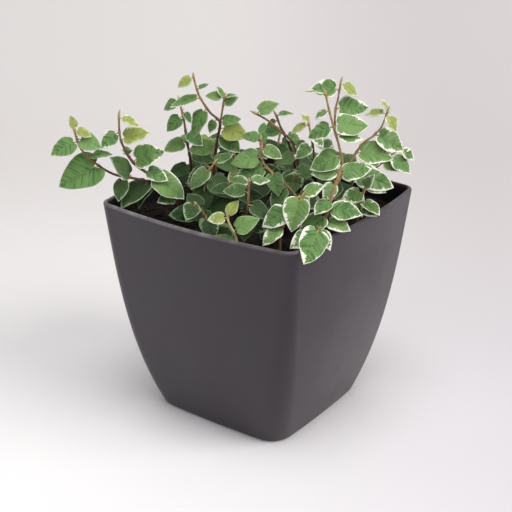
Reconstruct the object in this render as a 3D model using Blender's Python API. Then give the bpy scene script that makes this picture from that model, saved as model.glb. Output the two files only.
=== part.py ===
"""A variegated creeping fig growing in a tapered square pot.

The pot stands on z = 0 with its middle on the Z axis and its sides along X and Y. Soil fills it,
and every leafy stem stands in a hole of its own in the soil. Lengths are in metres and angles in
degrees. A heading is measured from +X towards +Y, and a rise from level towards +Z.
"""
import math
import random
from collections import namedtuple

import bmesh
import bpy
from mathutils import Vector
from mathutils.bvhtree import BVHTree

# Pot
POT_HEIGHT = 0.1254
RIM_HALF = 0.0675
FOOT_HALF = 0.0442
FLARE_STRAIGHT = 0.55
FLARE_POWER = 3.38
RIM_BOW = 0.0040
FOOT_BOW = 0.0008
RIM_CORNER = 0.0075
FOOT_CORNER = 0.0130
WALL = 0.0020
FLOOR = 0.0025
FOOT_EDGE = 0.0016
LIP_OUTER = 0.0009
LIP_INNER = 0.0005
SIDE_STEPS = 4
CORNER_STEPS = 3
WALL_LEVELS = (0.12, 0.27, 0.46, 0.72)

# Soil
SOIL_TOP = 0.1130
SOIL_CROWN = 0.0015
SOIL_LUMP = 0.0006
SOIL_RINGS = (0.72, 0.34)
HOLE_DEPTH = 0.0090
HOLE_SIDES = 5
GAP = 0.0003

# Stems
STEM_RADIUS = 0.00085
TIP_SHARE = 0.60
TWIG_RADIUS = 0.00065
STALK_HALF = 0.00045
STALK_SHARE = 0.10
STALK_EXTRA = 0.0012
STALK_LIFT = 20
CURVE_STEPS = 2
LOW_STEPS = 1

# Leaf blades: the points of half an outline, as shares of the blade's length along and out
RIM_POINTS = ((-0.10, 0.19), (0.06, 0.40), (0.44, 0.40), (0.79, 0.21))
SMALL_RIM_POINTS = ((-0.06, 0.22), (0.22, 0.41), (0.66, 0.29))
SMALL_BLADE = 0.0152
BROAD_RIM_POINTS = ((-0.20, 0.20), (-0.04, 0.43), (0.36, 0.44), (0.76, 0.24))
BROAD_BLADE = 0.0195
MIDRIB_POINT = 0.42
BLADE_THICKNESS = 0.00065
WAVE = 0.030
WAVE_TURNS = 9.0
EDGE_NIBBLE = 0.05

# Room that a new leaf or stem keeps to what stands there already
CLEARANCE = 0.0005
POT_MARGIN = 0.0010
EDGE_SAMPLES = 4
SEED = 7

# One shoot: where it starts on the main shoot (None when it is rooted), its points and its leaves.
# A leaf is (place along the shoot, heading, rise, length, face), and may end with how far it is
# folded. The face is how far the blade is rolled to look to the left of its own direction.
Shoot = namedtuple("Shoot", "start points leaves")
Leaf = namedtuple("Leaf", "foot base axis normal length width fold droop phase")

LEFT_ARM = (
    Shoot(None, ((-0.036, -0.038, 0.113), (-0.037, -0.039, 0.125), (-0.041, -0.045, 0.136),
                 (-0.053, -0.058, 0.141), (-0.060, -0.066, 0.148), (-0.065, -0.072, 0.157),
                 (-0.067, -0.074, 0.167)), (
        (0.69, 238, -22, 0.0210, 50), (0.92, 250, -18, 0.0138, 45), (0.94, 30, -20, 0.0115, -50),
        (0.78, 50, 5, 0.0125, -15), (1.00, 215, 75, 0.0065, 40), (1.00, 35, -15, 0.0080, -40),
        (0.46, 243, 60, 0.0165, 65), (0.50, 285, -50, 0.0130, 15), (0.32, 240, -32, 0.0185, 15),
        (0.26, 252, -33, 0.0130, -10, 0.5))),
)
LEFT_UPRIGHT = (
    Shoot(None, ((-0.031, -0.034, 0.113), (-0.032, -0.035, 0.124), (-0.039, -0.042, 0.137),
                 (-0.047, -0.050, 0.146), (-0.050, -0.055, 0.156), (-0.050, -0.058, 0.164),
                 (-0.050, -0.058, 0.174)), (
        (0.99, 30, -24, 0.0100, -20), (0.81, 32, 18, 0.0140, -42), (0.61, 35, 20, 0.0155, -48),
        (0.66, 140, 20, 0.0080, 15), (0.50, 15, -15, 0.0120, -40), (0.42, 10, -30, 0.0185, -35),
        (0.88, 232, -38, 0.0110, 45), (0.30, 150, 0, 0.0130, 10), (0.17, 245, 5, 0.0115, 30))),
)
MID_TALL = (
    Shoot(None, ((-0.022, -0.014, 0.113), (-0.022, -0.015, 0.125), (-0.020, -0.016, 0.143),
                 (-0.016, -0.018, 0.159), (-0.012, -0.021, 0.169), (-0.016, -0.024, 0.174),
                 (-0.021, -0.027, 0.183), (-0.023, -0.029, 0.193)), (
        (1.00, 225, -32, 0.0080, 42), (0.86, 218, -12, 0.0145, 12), (0.92, 40, 25, 0.0050, -20),
        (0.79, 245, -58, 0.0150, 5), (0.66, 30, 16, 0.0095, -38), (0.62, 25, -14, 0.0135, -58),
        (0.57, 25, -38, 0.0130, -45), (0.70, 240, -60, 0.0070, 30), (0.48, 215, -12, 0.0135, 45),
        (0.40, 0, -20, 0.0135, -30), (0.30, 235, -20, 0.0140, 40), (0.45, 130, 10, 0.0120, 0))),
    Shoot(0.62, ((-0.011, -0.020, 0.176), (-0.010, -0.020, 0.182)), (
        (1.00, 215, 8, 0.0080, 35), (0.80, 35, 30, 0.0075, -50), (1.00, 215, 56, 0.0060, 30),
        (1.00, 35, 20, 0.0060, -10))),
)
MID_LEFT = (
    Shoot(None, ((-0.036, -0.015, 0.113), (-0.036, -0.016, 0.125), (-0.035, -0.018, 0.142),
                 (-0.034, -0.022, 0.155), (-0.034, -0.024, 0.166), (-0.036, -0.025, 0.177)), (
        (1.00, 220, -28, 0.0080, 40), (0.88, 235, -42, 0.0100, 55), (0.92, 20, -50, 0.0065, -30),
        (0.74, 10, -30, 0.0110, -40), (0.64, 230, -15, 0.0115, 35), (0.52, 35, -15, 0.0125, -40),
        (0.42, 245, -25, 0.0125, 25), (0.62, 140, 15, 0.0100, 0), (0.32, 330, -25, 0.0140, -10))),
)
CENTRE_THIN = (
    Shoot(None, ((0.019, 0.010, 0.113), (0.019, 0.010, 0.125), (0.018, 0.010, 0.142),
                 (0.015, 0.010, 0.154), (0.008, 0.008, 0.160), (0.001, 0.007, 0.165),
                 (-0.006, 0.004, 0.169)), (
        (1.00, 42, 24, 0.0115, -42), (0.62, 25, -25, 0.0090, -35), (0.50, 215, -15, 0.0105, 40),
        (0.38, 250, -25, 0.0115, 25), (0.55, 120, 25, 0.0085, 0), (0.28, 20, -25, 0.0130, -40))),
)
CENTRE_BACK = (
    Shoot(None, ((0.006, 0.029, 0.113), (0.006, 0.028, 0.125), (0.005, 0.023, 0.145),
                 (0.002, 0.016, 0.160), (0.001, 0.013, 0.167)), (
        (1.00, 38, 6, 0.0080, -8), (0.95, 215, -30, 0.0060, 30), (0.82, 215, -10, 0.0105, 30),
        (0.78, 20, -25, 0.0090, -30), (0.62, 235, -20, 0.0115, 35), (0.55, 120, 15, 0.0100, 0),
        (0.48, 25, -20, 0.0125, -40), (0.36, 170, 0, 0.0130, 0))),
)
CENTRE_RIGHT = (
    Shoot(None, ((0.030, 0.014, 0.113), (0.030, 0.014, 0.123), (0.027, 0.013, 0.144),
                 (0.024, 0.014, 0.156), (0.021, 0.015, 0.165)), (
        (1.00, 225, -22, 0.0090, 12), (1.00, 195, 50, 0.0060, 25), (0.90, 0, -35, 0.0080, -25),
        (0.78, 245, -25, 0.0100, 35), (0.66, 15, -20, 0.0115, -35), (0.52, 220, -15, 0.0125, 40),
        (0.42, 30, -20, 0.0140, -45), (0.60, 125, 20, 0.0100, 0))),
)
RIGHT_TALL = (
    Shoot(None, ((0.058, -0.028, 0.113), (0.058, -0.028, 0.124), (0.059, -0.024, 0.137),
                 (0.058, -0.016, 0.148), (0.057, -0.009, 0.156), (0.055, -0.009, 0.164),
                 (0.052, -0.009, 0.172), (0.049, -0.010, 0.182), (0.047, -0.011, 0.191)), (
        (1.00, 218, 8, 0.0100, -5), (0.90, 215, -35, 0.0070, 42), (0.80, 38, 0, 0.0155, -48),
        (0.80, 222, -24, 0.0120, 48), (0.75, 32, -10, 0.0120, -40), (0.62, 222, -22, 0.0150, 45),
        (0.52, 218, -12, 0.0140, 48), (0.50, 34, 12, 0.0145, -42), (0.45, 222, -20, 0.0120, 42),
        (0.24, 245, -35, 0.0175, 25), (0.28, 20, -5, 0.0150, -40), (0.20, 10, -8, 0.0120, -25),
        (0.33, 265, -15, 0.0110, 20))),
    Shoot(0.47, ((0.061, 0.001, 0.163), (0.065, 0.006, 0.168), (0.068, 0.010, 0.173),
                 (0.070, 0.012, 0.181)), (
        (0.72, 38, -28, 0.0160, -48), (0.44, 28, 1, 0.0175, -40), (0.97, 345, -50, 0.0090, -15),
        (1.00, 215, 55, 0.0060, 25), (0.97, 215, 0, 0.0090, 20))),
    Shoot(0.80, ((0.047, -0.001, 0.181), (0.047, 0.001, 0.186), (0.047, 0.003, 0.194)), (
        (0.48, 36, 4, 0.0150, -42), (0.86, 214, 0, 0.0130, 50), (1.00, 15, -35, 0.0090, -30))),
)
RIGHT_CORNER = (
    Shoot(None, ((0.040, 0.035, 0.113), (0.040, 0.036, 0.124), (0.045, 0.042, 0.135),
                 (0.051, 0.048, 0.143), (0.056, 0.054, 0.148)), (
        (1.00, 30, -32, 0.0090, -35), (0.86, 15, -36, 0.0140, -40), (0.70, 50, -10, 0.0135, -40),
        (0.75, 215, 8, 0.0120, 40), (0.50, 210, -5, 0.0130, 40), (0.55, 140, 0, 0.0125, 0),
        (0.85, 140, 15, 0.0110, 0), (0.40, 20, -20, 0.0120, -40))),
)
RIGHT_BACK = (
    Shoot(None, ((0.046, 0.016, 0.113), (0.046, 0.016, 0.124), (0.048, 0.016, 0.134),
                 (0.050, 0.017, 0.143)), (
        (0.95, 24, -14, 0.0190, -40), (1.00, 215, 0, 0.0120, 40), (0.75, 250, -25, 0.0130, 20),
        (0.80, 120, 10, 0.0120, 0), (0.60, 330, -30, 0.0140, -20))),
)
RIGHT_RIM = (
    Shoot(None, ((0.059, 0.006, 0.113), (0.059, 0.006, 0.122), (0.060, 0.006, 0.130),
                 (0.061, 0.008, 0.138)), (
        (0.55, 350, -22, 0.0120, -15), (0.72, 358, -34, 0.0140, -10, 0.4),
        (0.95, 245, -15, 0.0120, 30), (1.00, 35, 62, 0.0080, -40))),
)
RIM_HANGER = (
    Shoot(None, ((0.057, -0.037, 0.113), (0.057, -0.037, 0.122), (0.060, -0.039, 0.129),
                 (0.065, -0.042, 0.133)), (
        (1.00, 282, -38, 0.0180, 42), (0.70, 350, -30, 0.0110, -10, 0.6), (0.60, 250, -20, 0.0120, 30))),
)
NEAR_CORNER = (
    Shoot(None, ((0.042, -0.042, 0.113), (0.042, -0.042, 0.123), (0.044, -0.039, 0.134),
                 (0.049, -0.033, 0.144)), (
        (0.98, 275, -58, 0.0160, 15, 0.5), (0.72, 225, -28, 0.0145, 42), (0.45, 250, -30, 0.0120, 20),
        (1.00, 35, 25, 0.0100, -35))),
)
SPROUT = (
    Shoot(None, ((0.025, -0.056, 0.113), (0.025, -0.056, 0.120), (0.024, -0.056, 0.124),
                 (0.021, -0.057, 0.130), (0.020, -0.057, 0.133)), (
        (1.00, 70, 50, 0.0085, -20), (0.98, 222, -5, 0.0085, 55), (0.25, 222, 12, 0.0130, 10),
        (0.62, 38, 28, 0.0125, -50))),
)
FRONT_CENTRE = (
    Shoot(None, ((0.040, -0.018, 0.113), (0.040, -0.018, 0.123), (0.036, -0.017, 0.134),
                 (0.029, -0.019, 0.142), (0.018, -0.022, 0.151), (0.015, -0.021, 0.158),
                 (0.014, -0.020, 0.164)), (
        (0.74, 222, -18, 0.0150, 45), (0.84, 220, -10, 0.0140, 48), (0.70, 330, -45, 0.0120, -10),
        (0.92, 20, -20, 0.0100, -40), (1.00, 220, 10, 0.0085, 35), (0.52, 260, -35, 0.0140, 20),
        (0.95, 110, 40, 0.0070, 0), (0.40, 30, -20, 0.0140, -40))),
)
FRONT_LEFT = (
    Shoot(None, ((-0.014, -0.036, 0.113), (-0.014, -0.036, 0.122), (-0.011, -0.035, 0.134),
                 (-0.010, -0.034, 0.144), (-0.008, -0.031, 0.150)), (
        (0.90, 240, -40, 0.0130, 25), (0.62, 280, -50, 0.0150, 5), (0.75, 10, -30, 0.0140, -35),
        (0.80, 225, -15, 0.0130, 40), (0.45, 230, -30, 0.0140, 25), (0.98, 60, 20, 0.0100, -15),
        (0.20, 215, 0, 0.0150, 40))),
)
PLACED_STEMS = (
    ("stem_right_tall", RIGHT_TALL), ("stem_left_arm", LEFT_ARM), ("stem_left_upright", LEFT_UPRIGHT),
    ("stem_rim_hanger", RIM_HANGER), ("stem_sprout", SPROUT), ("stem_mid_tall", MID_TALL),
    ("stem_mid_left", MID_LEFT), ("stem_centre_thin", CENTRE_THIN), ("stem_centre_back", CENTRE_BACK),
    ("stem_centre_right", CENTRE_RIGHT), ("stem_front_centre", FRONT_CENTRE),
    ("stem_near_corner", NEAR_CORNER), ("stem_right_back", RIGHT_BACK),
    ("stem_right_corner", RIGHT_CORNER), ("stem_right_rim", RIGHT_RIM), ("stem_front_left", FRONT_LEFT),
)

# The low stems that fill the pot between the placed ones: spots on a jittered grid. Their leaves
# turn towards the light, which comes from one side of the plant.
SPOT_STEP = 0.0215
SPOT_REACH = 0.0520
SPOT_JITTER = 0.0045
BARE_LEFT = -0.062
BARE_RIGHT = 0.082
ROOT_SPACING = 0.0105
LOW_HEIGHT = (0.018, 0.038)
LOW_REACH = (0.005, 0.018)
LOW_LEAVES = 5
LOW_LENGTHS = (0.0140, 0.0100)
LIGHT_HEADING = 305
LIGHT_RISE = 22
LIGHT_FACE = 32
LOW_TRIES = 12
LEAF_TRIES = 40

# How far a leaf may turn from its wished heading, and by what share it may shrink, to find room
PLACED_LOOSE = 35
LOW_LOOSE = 90
SHRINK = 0.2


def half_width(z):
    """Half the pot's outer width across the middle of its sides, at height z."""
    t = min(max(z / POT_HEIGHT, 0.0), 1.0)
    flare = FLARE_STRAIGHT * t + (1 - FLARE_STRAIGHT) * (1 - (1 - t) ** FLARE_POWER)
    return FOOT_HALF + (RIM_HALF - FOOT_HALF) * flare


def between(foot, rim, z):
    """A value that runs evenly from the pot's foot to its rim."""
    return foot + (rim - foot) * min(max(z / POT_HEIGHT, 0.0), 1.0)


def plan_shape(z, inset):
    """The half width, bow and corner radius of the pot's outline at height z, moved in by inset."""
    bow = between(FOOT_BOW, RIM_BOW, z)
    radius = between(FOOT_CORNER, RIM_CORNER, z) - inset
    return half_width(z) - inset, bow, radius


def plan_ring(z, inset):
    """The outline itself: four bowed sides and four round corners, counter-clockwise."""
    half, bow, radius = plan_shape(z, inset)
    straight = half - bow - radius
    quarter = []
    for k in range(SIDE_STEPS + 1):
        t = 2 * k / SIDE_STEPS - 1
        quarter.append((half - bow * t * t, t * straight))
    for k in range(1, CORNER_STEPS):
        angle = math.radians(90 * k / CORNER_STEPS)
        quarter.append((straight + radius * math.cos(angle), straight + radius * math.sin(angle)))
    ring = []
    for turn in range(4):
        c, s = round(math.cos(turn * math.pi / 2)), round(math.sin(turn * math.pi / 2))
        ring += [Vector((x * c - y * s, x * s + y * c, z)) for x, y in quarter]
    return ring


def outside_wall(point):
    """How far a point lies outside the pot's outer face, in plan; negative inside it."""
    half, bow, radius = plan_shape(point.z, 0.0)
    straight = half - bow - radius
    x, y = abs(point.x), abs(point.y)
    bulge = bow * (1 - min(1.0, min(x, y) / straight) ** 2)
    dx, dy = x - straight, y - straight
    corner = math.hypot(max(dx, 0.0), max(dy, 0.0)) + min(max(dx, dy), 0.0)
    return corner - radius - bulge


def clear_of_pot(point):
    """True where a leaf may be: above the lip, outside the pot, or inside it above the soil."""
    if point.z > POT_HEIGHT + POT_MARGIN:
        return True
    outside = outside_wall(point)
    if outside > POT_MARGIN:
        return True
    soil = SOIL_TOP + SOIL_CROWN + SOIL_LUMP + POT_MARGIN
    return outside < -WALL - POT_MARGIN and point.z > soil


def new_object(name, mesh, collection, material=None):
    """Put a mesh in the scene as one named object."""
    body = bpy.data.objects.new(name, mesh)
    collection.objects.link(body)
    if material is not None:
        mesh.materials.clear()
        mesh.materials.append(material)
    return body


def new_mesh(name, shell):
    """A mesh from the points and faces of a closed shell."""
    mesh = bpy.data.meshes.new(name)
    mesh.from_pydata([tuple(p) for p in shell[0]], [], shell[1])
    mesh.validate()
    mesh.update()
    return mesh


def new_collection(name):
    collection = bpy.data.collections.new(name)
    bpy.context.scene.collection.children.link(collection)
    return collection


def new_material(name, colour, roughness):
    material = bpy.data.materials.new(name)
    material.use_nodes = True
    shader = material.node_tree.nodes["Principled BSDF"]
    shader.inputs["Base Color"].default_value = (*colour, 1.0)
    shader.inputs["Roughness"].default_value = roughness
    shader.inputs["Metallic"].default_value = 0.0
    return material


def loft(rings):
    """A closed shell through rings that have the same number of points, flat at both ends."""
    count = len(rings[0])
    points = [p for ring in rings for p in ring]
    faces = [list(reversed(range(count)))]
    for r in range(len(rings) - 1):
        low, high = r * count, (r + 1) * count
        for k in range(count):
            after = (k + 1) % count
            faces.append([low + k, low + after, high + after, high + k])
    faces.append([(len(rings) - 1) * count + k for k in range(count)])
    return points, faces


def arc_levels(radius, start, end, steps):
    """Points of a rounded edge as (inset, drop) pairs, both measured from the sharp corner."""
    pairs = []
    for k in range(steps + 1):
        angle = math.radians(start + (end - start) * k / steps)
        pairs.append((radius * (1 - math.cos(angle)), radius * (1 - math.sin(angle))))
    return pairs


def pot_rings():
    """The pot's shell, from the middle of its foot up the outside, over the lip and down inside."""
    levels = [(drop, inset) for inset, drop in arc_levels(FOOT_EDGE, 90, 0, 2)]
    levels += [(share * POT_HEIGHT, 0.0) for share in WALL_LEVELS]
    levels += [(POT_HEIGHT - drop, inset) for inset, drop in arc_levels(LIP_OUTER, 0, 90, 2)]
    lip = list(reversed(arc_levels(LIP_INNER, 0, 90, 1)))
    levels += [(POT_HEIGHT - drop, WALL - inset) for inset, drop in lip]
    levels += [(share * POT_HEIGHT, WALL) for share in reversed(WALL_LEVELS)]
    levels += [(FLOOR + FOOT_EDGE, WALL), (FLOOR, WALL + FOOT_EDGE)]
    return [plan_ring(z, inset) for z, inset in levels]


def make_pot(collection):
    black = new_material("dark_plastic", (0.055, 0.051, 0.057), 0.38)
    body = new_object("pot", new_mesh("pot", loft(pot_rings())), collection, black)
    body.data.shade_smooth()
    body.data.set_sharp_from_angle(angle=math.radians(40))
    return body


def soil_rings(rng):
    """The soil's rings, from the pot's floor up along the wall and in over the crumbled top."""
    inset = WALL + GAP
    levels = [(FLOOR + GAP, inset + FOOT_EDGE), (FLOOR + FOOT_EDGE + GAP, inset)]
    levels += [(share * POT_HEIGHT, inset) for share in WALL_LEVELS if share * POT_HEIGHT < SOIL_TOP - GAP]
    rings = [plan_ring(z, gap) for z, gap in levels]
    edge = plan_ring(SOIL_TOP, inset)
    rings.append(edge)
    for share in SOIL_RINGS:
        crown = SOIL_CROWN * (1 - share)
        ring = [Vector((p.x * share, p.y * share, p.z + crown)) for p in edge]
        for p in ring:
            p.z += rng.uniform(-SOIL_LUMP, SOIL_LUMP)
        rings.append(ring)
    middle = [p.copy() for p in rings[-1]]
    for p in middle:
        p.x, p.y, p.z = p.x * 0.3, p.y * 0.3, SOIL_TOP + SOIL_CROWN
    rings.append(middle)
    return rings


def make_soil(collection, cutters, plant):
    """The filling of the pot, with a plain round hole for each stem."""
    brown = new_material("potting_soil", (0.035, 0.024, 0.018), 0.95)
    body = new_object("soil", new_mesh("soil", loft(soil_rings(random.Random(SEED)))), collection, brown)
    radius = (STEM_RADIUS + GAP) / math.cos(math.pi / HOLE_SIDES)
    for name, shoots in plant:
        root = shoots[0].path[0]
        bpy.ops.mesh.primitive_cylinder_add(vertices=HOLE_SIDES, radius=radius, depth=2 * HOLE_DEPTH,
                                            location=(root.x, root.y, SOIL_TOP))
        hole = bpy.context.object
        hole.name = name + "_hole"
        hole.hide_render = True
        hole.display_type = "WIRE"
        for owner in list(hole.users_collection):
            owner.objects.unlink(hole)
        cutters.objects.link(hole)
    cut = body.modifiers.new("stem holes", "BOOLEAN")
    cut.operation = "DIFFERENCE"
    cut.operand_type = "COLLECTION"
    cut.collection = cutters
    return body


def aim(heading, rise):
    """The unit vector of a heading and a rise."""
    level = math.cos(math.radians(rise))
    turn = math.radians(heading)
    return Vector((level * math.cos(turn), level * math.sin(turn), math.sin(math.radians(rise))))


def smooth(points, steps):
    """A rounder path through the points, with so many steps in each span (Catmull-Rom)."""
    ends = [points[0] * 2 - points[1]] + list(points) + [points[-1] * 2 - points[-2]]
    path = []
    for k in range(1, len(ends) - 2):
        a, b, c, d = ends[k - 1:k + 3]
        for step in range(steps):
            t = step / steps
            path.append(0.5 * (2 * b + (c - a) * t + (2 * a - 5 * b + 4 * c - d) * t ** 2
                               + (3 * b - 3 * c + d - a) * t ** 3))
    path.append(points[-1].copy())
    return path


def at_place(path, place):
    """The point at a share of the path's length."""
    spans = [(b - a).length for a, b in zip(path, path[1:])]
    left = place * sum(spans)
    for k, span in enumerate(spans):
        if left <= span:
            return path[k].lerp(path[k + 1], left / span)
        left -= span
    return path[-1].copy()


def shoot_radii(path, thick):
    """The radius at each point of a shoot, thinner towards its tip."""
    last = len(path) - 1
    return [thick * (1 + (TIP_SHARE - 1) * k / last) for k in range(last + 1)]


def tube_shell(path, radii, grow):
    """A square tube along a path, as points and faces, for testing room."""
    rings = []
    for k, p in enumerate(path):
        run = (path[min(k + 1, len(path) - 1)] - path[max(k - 1, 0)]).normalized()
        side = run.orthogonal().normalized()
        other = run.cross(side)
        r = radii[k] + grow
        rings.append([p + side * r, p + other * r, p - side * r, p - other * r])
    return loft(rings)


def outline(leaf):
    """The blade's outline as (along, out) shares of its length, from its stalk round to its stalk."""
    half = RIM_POINTS
    if leaf.length < SMALL_BLADE:
        half = SMALL_RIM_POINTS
    elif leaf.length > BROAD_BLADE:
        half = BROAD_RIM_POINTS
    stalk = STALK_HALF / leaf.length
    ring = [(0.0, -stalk)]
    for side, points in ((-1, half), (1, tuple(reversed(half)))):
        if side == 1:
            ring.append((1.0, 0.0))
        for along, out in points:
            nibble = 1 + EDGE_NIBBLE * math.sin(leaf.phase + 7 * along + 2 * side)
            ring.append((along, side * out * nibble))
    ring.append((0.0, stalk))
    return ring


def blade_point(leaf, along, out):
    """The middle of the blade's thickness at a place on it: folded, drooping and waved."""
    wide = out * leaf.width
    edge = (abs(out) / 0.4) ** 2
    ripple = WAVE * edge * math.sin(leaf.phase + math.copysign(1.3, out) + WAVE_TURNS * along)
    lift = leaf.fold * abs(wide) - leaf.droop * along * along + ripple
    side = leaf.normal.cross(leaf.axis)
    return leaf.base + leaf.length * (leaf.axis * along + side * wide + leaf.normal * lift)


def blade_shell(leaf, grow):
    """The blade as points and faces: the same triangles on both faces, joined round the rim."""
    ring = outline(leaf)
    count = len(ring)
    middle = Vector((MIDRIB_POINT, 0.0))
    flat = []
    for along, out in ring:
        away = Vector((along, out)) - middle
        flat.append(middle + away + away.normalized() * grow / leaf.length)
    flat.append(middle)
    half = (BLADE_THICKNESS / 2 + grow) * math.hypot(1.0, leaf.fold)
    centre = [blade_point(leaf, p.x, p.y) for p in flat]
    points = [p + leaf.normal * half for p in centre] + [p - leaf.normal * half for p in centre]
    low = len(flat)
    faces = []
    for k in range(count):
        after = (k + 1) % count
        faces.append([k, after, count])
        faces.append([low + count, low + after, low + k])
        faces.append([after, k, low + k, low + after])
    return points, faces


def leaf_shell(leaf):
    """The blade with its stalk, which runs square from the blade's base to the middle of the stem."""
    points, faces = blade_shell(leaf, 0.0)
    low = len(points) // 2
    right, left = 0, low - 2
    side = leaf.normal.cross(leaf.axis) * STALK_HALF
    half = leaf.normal * BLADE_THICKNESS / 2
    foot = len(points)
    points += [leaf.foot - side + half, leaf.foot + side + half,
               leaf.foot + side - half, leaf.foot - side - half]
    faces.remove([right, left, low + left, low + right])
    faces += [[right, left, foot + 1, foot], [low + right, foot + 3, foot + 2, low + left],
              [low + right, right, foot, foot + 3], [left, low + left, foot + 2, foot + 1],
              [foot, foot + 1, foot + 2, foot + 3]]
    return points, faces


def stalk_shell(leaf, grow):
    return tube_shell([leaf.foot, leaf.base], [STALK_HALF] * 2, grow)


def new_leaf(foot, heading, rise, length, face, fold, rng):
    """A leaf on its stalk. The draws give each one its own width, droop and wave."""
    axis = aim(heading, rise)
    side = aim(heading + 90, 0)
    roll = math.radians(face)
    normal = axis.cross(side) * math.cos(roll) + side * math.sin(roll)
    base = foot + aim(heading, rise + STALK_LIFT) * (STALK_SHARE * length + STALK_EXTRA)
    width = rng.uniform(0.92, 1.08)
    bend = rng.uniform(0.04, 0.20)
    own_fold = rng.uniform(0.04, 0.24)
    phase = rng.uniform(0, 2 * math.pi)
    return Leaf(foot, base, axis, normal, length, width, own_fold if fold is None else fold, bend, phase)


class Room:
    """Everything that stands in the pot so far."""

    def __init__(self):
        self.solids = []

    def add(self, shell, owner):
        low = Vector([min(p[i] for p in shell[0]) for i in range(3)])
        high = Vector([max(p[i] for p in shell[0]) for i in range(3)])
        self.solids.append((low, high, BVHTree.FromPolygons(shell[0], shell[1]), owner))

    def taken(self, shell, apart_from=None):
        """True when the shell cuts one that is there, leaving out those of one owner."""
        low = [min(p[i] for p in shell[0]) for i in range(3)]
        high = [max(p[i] for p in shell[0]) for i in range(3)]
        tree = None
        for other_low, other_high, other, owner in self.solids:
            if owner == apart_from:
                continue
            if any(low[i] > other_high[i] or high[i] < other_low[i] for i in range(3)):
                continue
            if tree is None:
                tree = BVHTree.FromPolygons(shell[0], shell[1])
            if tree.overlap(other):
                return True
        return False


def leaf_fits(leaf, room, name):
    """True when blade and stalk stay clear of the pot, the soil, all leaves and the other stems."""
    blade = blade_shell(leaf, CLEARANCE)
    rim = blade[0][:len(blade[0]) // 2]
    for k in range(len(rim) - 1):
        start, end = rim[k], rim[(k + 1) % (len(rim) - 1)]
        for step in range(EDGE_SAMPLES):
            for towards in (end, rim[-1]):
                if not clear_of_pot(start.lerp(towards, step / EDGE_SAMPLES)):
                    return False
    own_stem = name + "_stem"
    return not (room.taken(blade, own_stem) or room.taken(stalk_shell(leaf, CLEARANCE), own_stem))


def grow_leaf(foot, wish, room, name, rng, loose):
    """Try the wished leaf, then others turned and tilted a little more each time."""
    place, heading, rise, length, face = wish[:5]
    fold = wish[5] if len(wish) > 5 else None
    for attempt in range(LEAF_TRIES):
        spread = loose * attempt / LEAF_TRIES
        turned = heading + rng.uniform(-1, 1) * spread
        tilted = max(-70, min(75, rise + rng.uniform(-0.8, 0.8) * spread))
        shrunk = length * (1 - SHRINK * attempt / LEAF_TRIES)
        leaf = new_leaf(foot, turned, tilted, shrunk, face, fold, rng)
        if leaf_fits(leaf, room, name):
            room.add(blade_shell(leaf, 0.0), name)
            room.add(stalk_shell(leaf, 0.0), name + "_stem")
            return leaf
    return None


Grown = namedtuple("Grown", "path radii leaves")


def shoot_paths(shoots, steps):
    """The path and radii of each shoot; a side shoot starts inside the main one."""
    grown = []
    for shoot in shoots:
        points = [Vector(p) for p in shoot.points]
        if shoot.start is not None:
            points.insert(0, at_place(grown[0].path, shoot.start))
        path = smooth(points, steps)
        thick = STEM_RADIUS if shoot.start is None else TWIG_RADIUS
        if shoot.start is None:
            path.insert(0, Vector((path[0].x, path[0].y, SOIL_TOP - HOLE_DEPTH + GAP)))
        grown.append(Grown(path, shoot_radii(path, thick), []))
    return grown


def grow_leaves(shoots, grown, room, name, rng, loose):
    for shoot, shape in zip(shoots, grown):
        bare = shape.path[1:] if shoot.start is None else shape.path
        for wish in shoot.leaves:
            leaf = grow_leaf(at_place(bare, wish[0]), wish, room, name, rng, loose)
            if leaf is not None:
                shape.leaves.append(leaf)


def low_spots(rng, roots):
    """Places for the low stems: a jittered grid, without the two bare corners and the taken spots."""
    spots = []
    count = int(SPOT_REACH / SPOT_STEP)
    for i in range(-count, count + 1):
        for j in range(-count, count + 1):
            x = i * SPOT_STEP + rng.uniform(-SPOT_JITTER, SPOT_JITTER)
            y = j * SPOT_STEP + rng.uniform(-SPOT_JITTER, SPOT_JITTER)
            near = any(math.hypot(x - r.x, y - r.y) < ROOT_SPACING for r in roots)
            if BARE_LEFT < x + y < BARE_RIGHT and not near:
                spots.append((x, y))
    return spots


def low_shoot(spot, rng):
    """One low stem that leans outwards, with leaves in two ranks that get smaller to the tip."""
    x, y = spot
    away = math.degrees(math.atan2(y, x)) + rng.uniform(-60, 60)
    reach = rng.uniform(*LOW_REACH)
    height = rng.uniform(*LOW_HEIGHT)
    points = [(x, y, SOIL_TOP), (x, y, SOIL_TOP + 0.006)]
    for out, up in ((0.35, 0.55), (1.0, 1.0)):
        lean = aim(away, 0) * reach * out
        points.append((x + lean.x, y + lean.y, SOIL_TOP + height * up))
    leaves = []
    for k in range(LOW_LEAVES):
        share = k / (LOW_LEAVES - 1)
        heading = away + (-1) ** k * rng.uniform(35, 120)
        towards = math.radians(heading - LIGHT_HEADING)
        rise = -LIGHT_RISE * math.cos(towards) + rng.uniform(-20, 16)
        face = -LIGHT_FACE * math.sin(towards) + rng.uniform(-15, 15)
        length = LOW_LENGTHS[0] + (LOW_LENGTHS[1] - LOW_LENGTHS[0]) * share
        leaves.append((0.30 + 0.70 * share, heading, rise, length * rng.uniform(0.88, 1.12), face))
    return (Shoot(None, tuple(points), tuple(leaves)),)


def stem_draws(name):
    """Each stem has draws of its own, so a change to one doesn't reshuffle the others."""
    return random.Random("%s %d" % (name, SEED))


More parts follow.
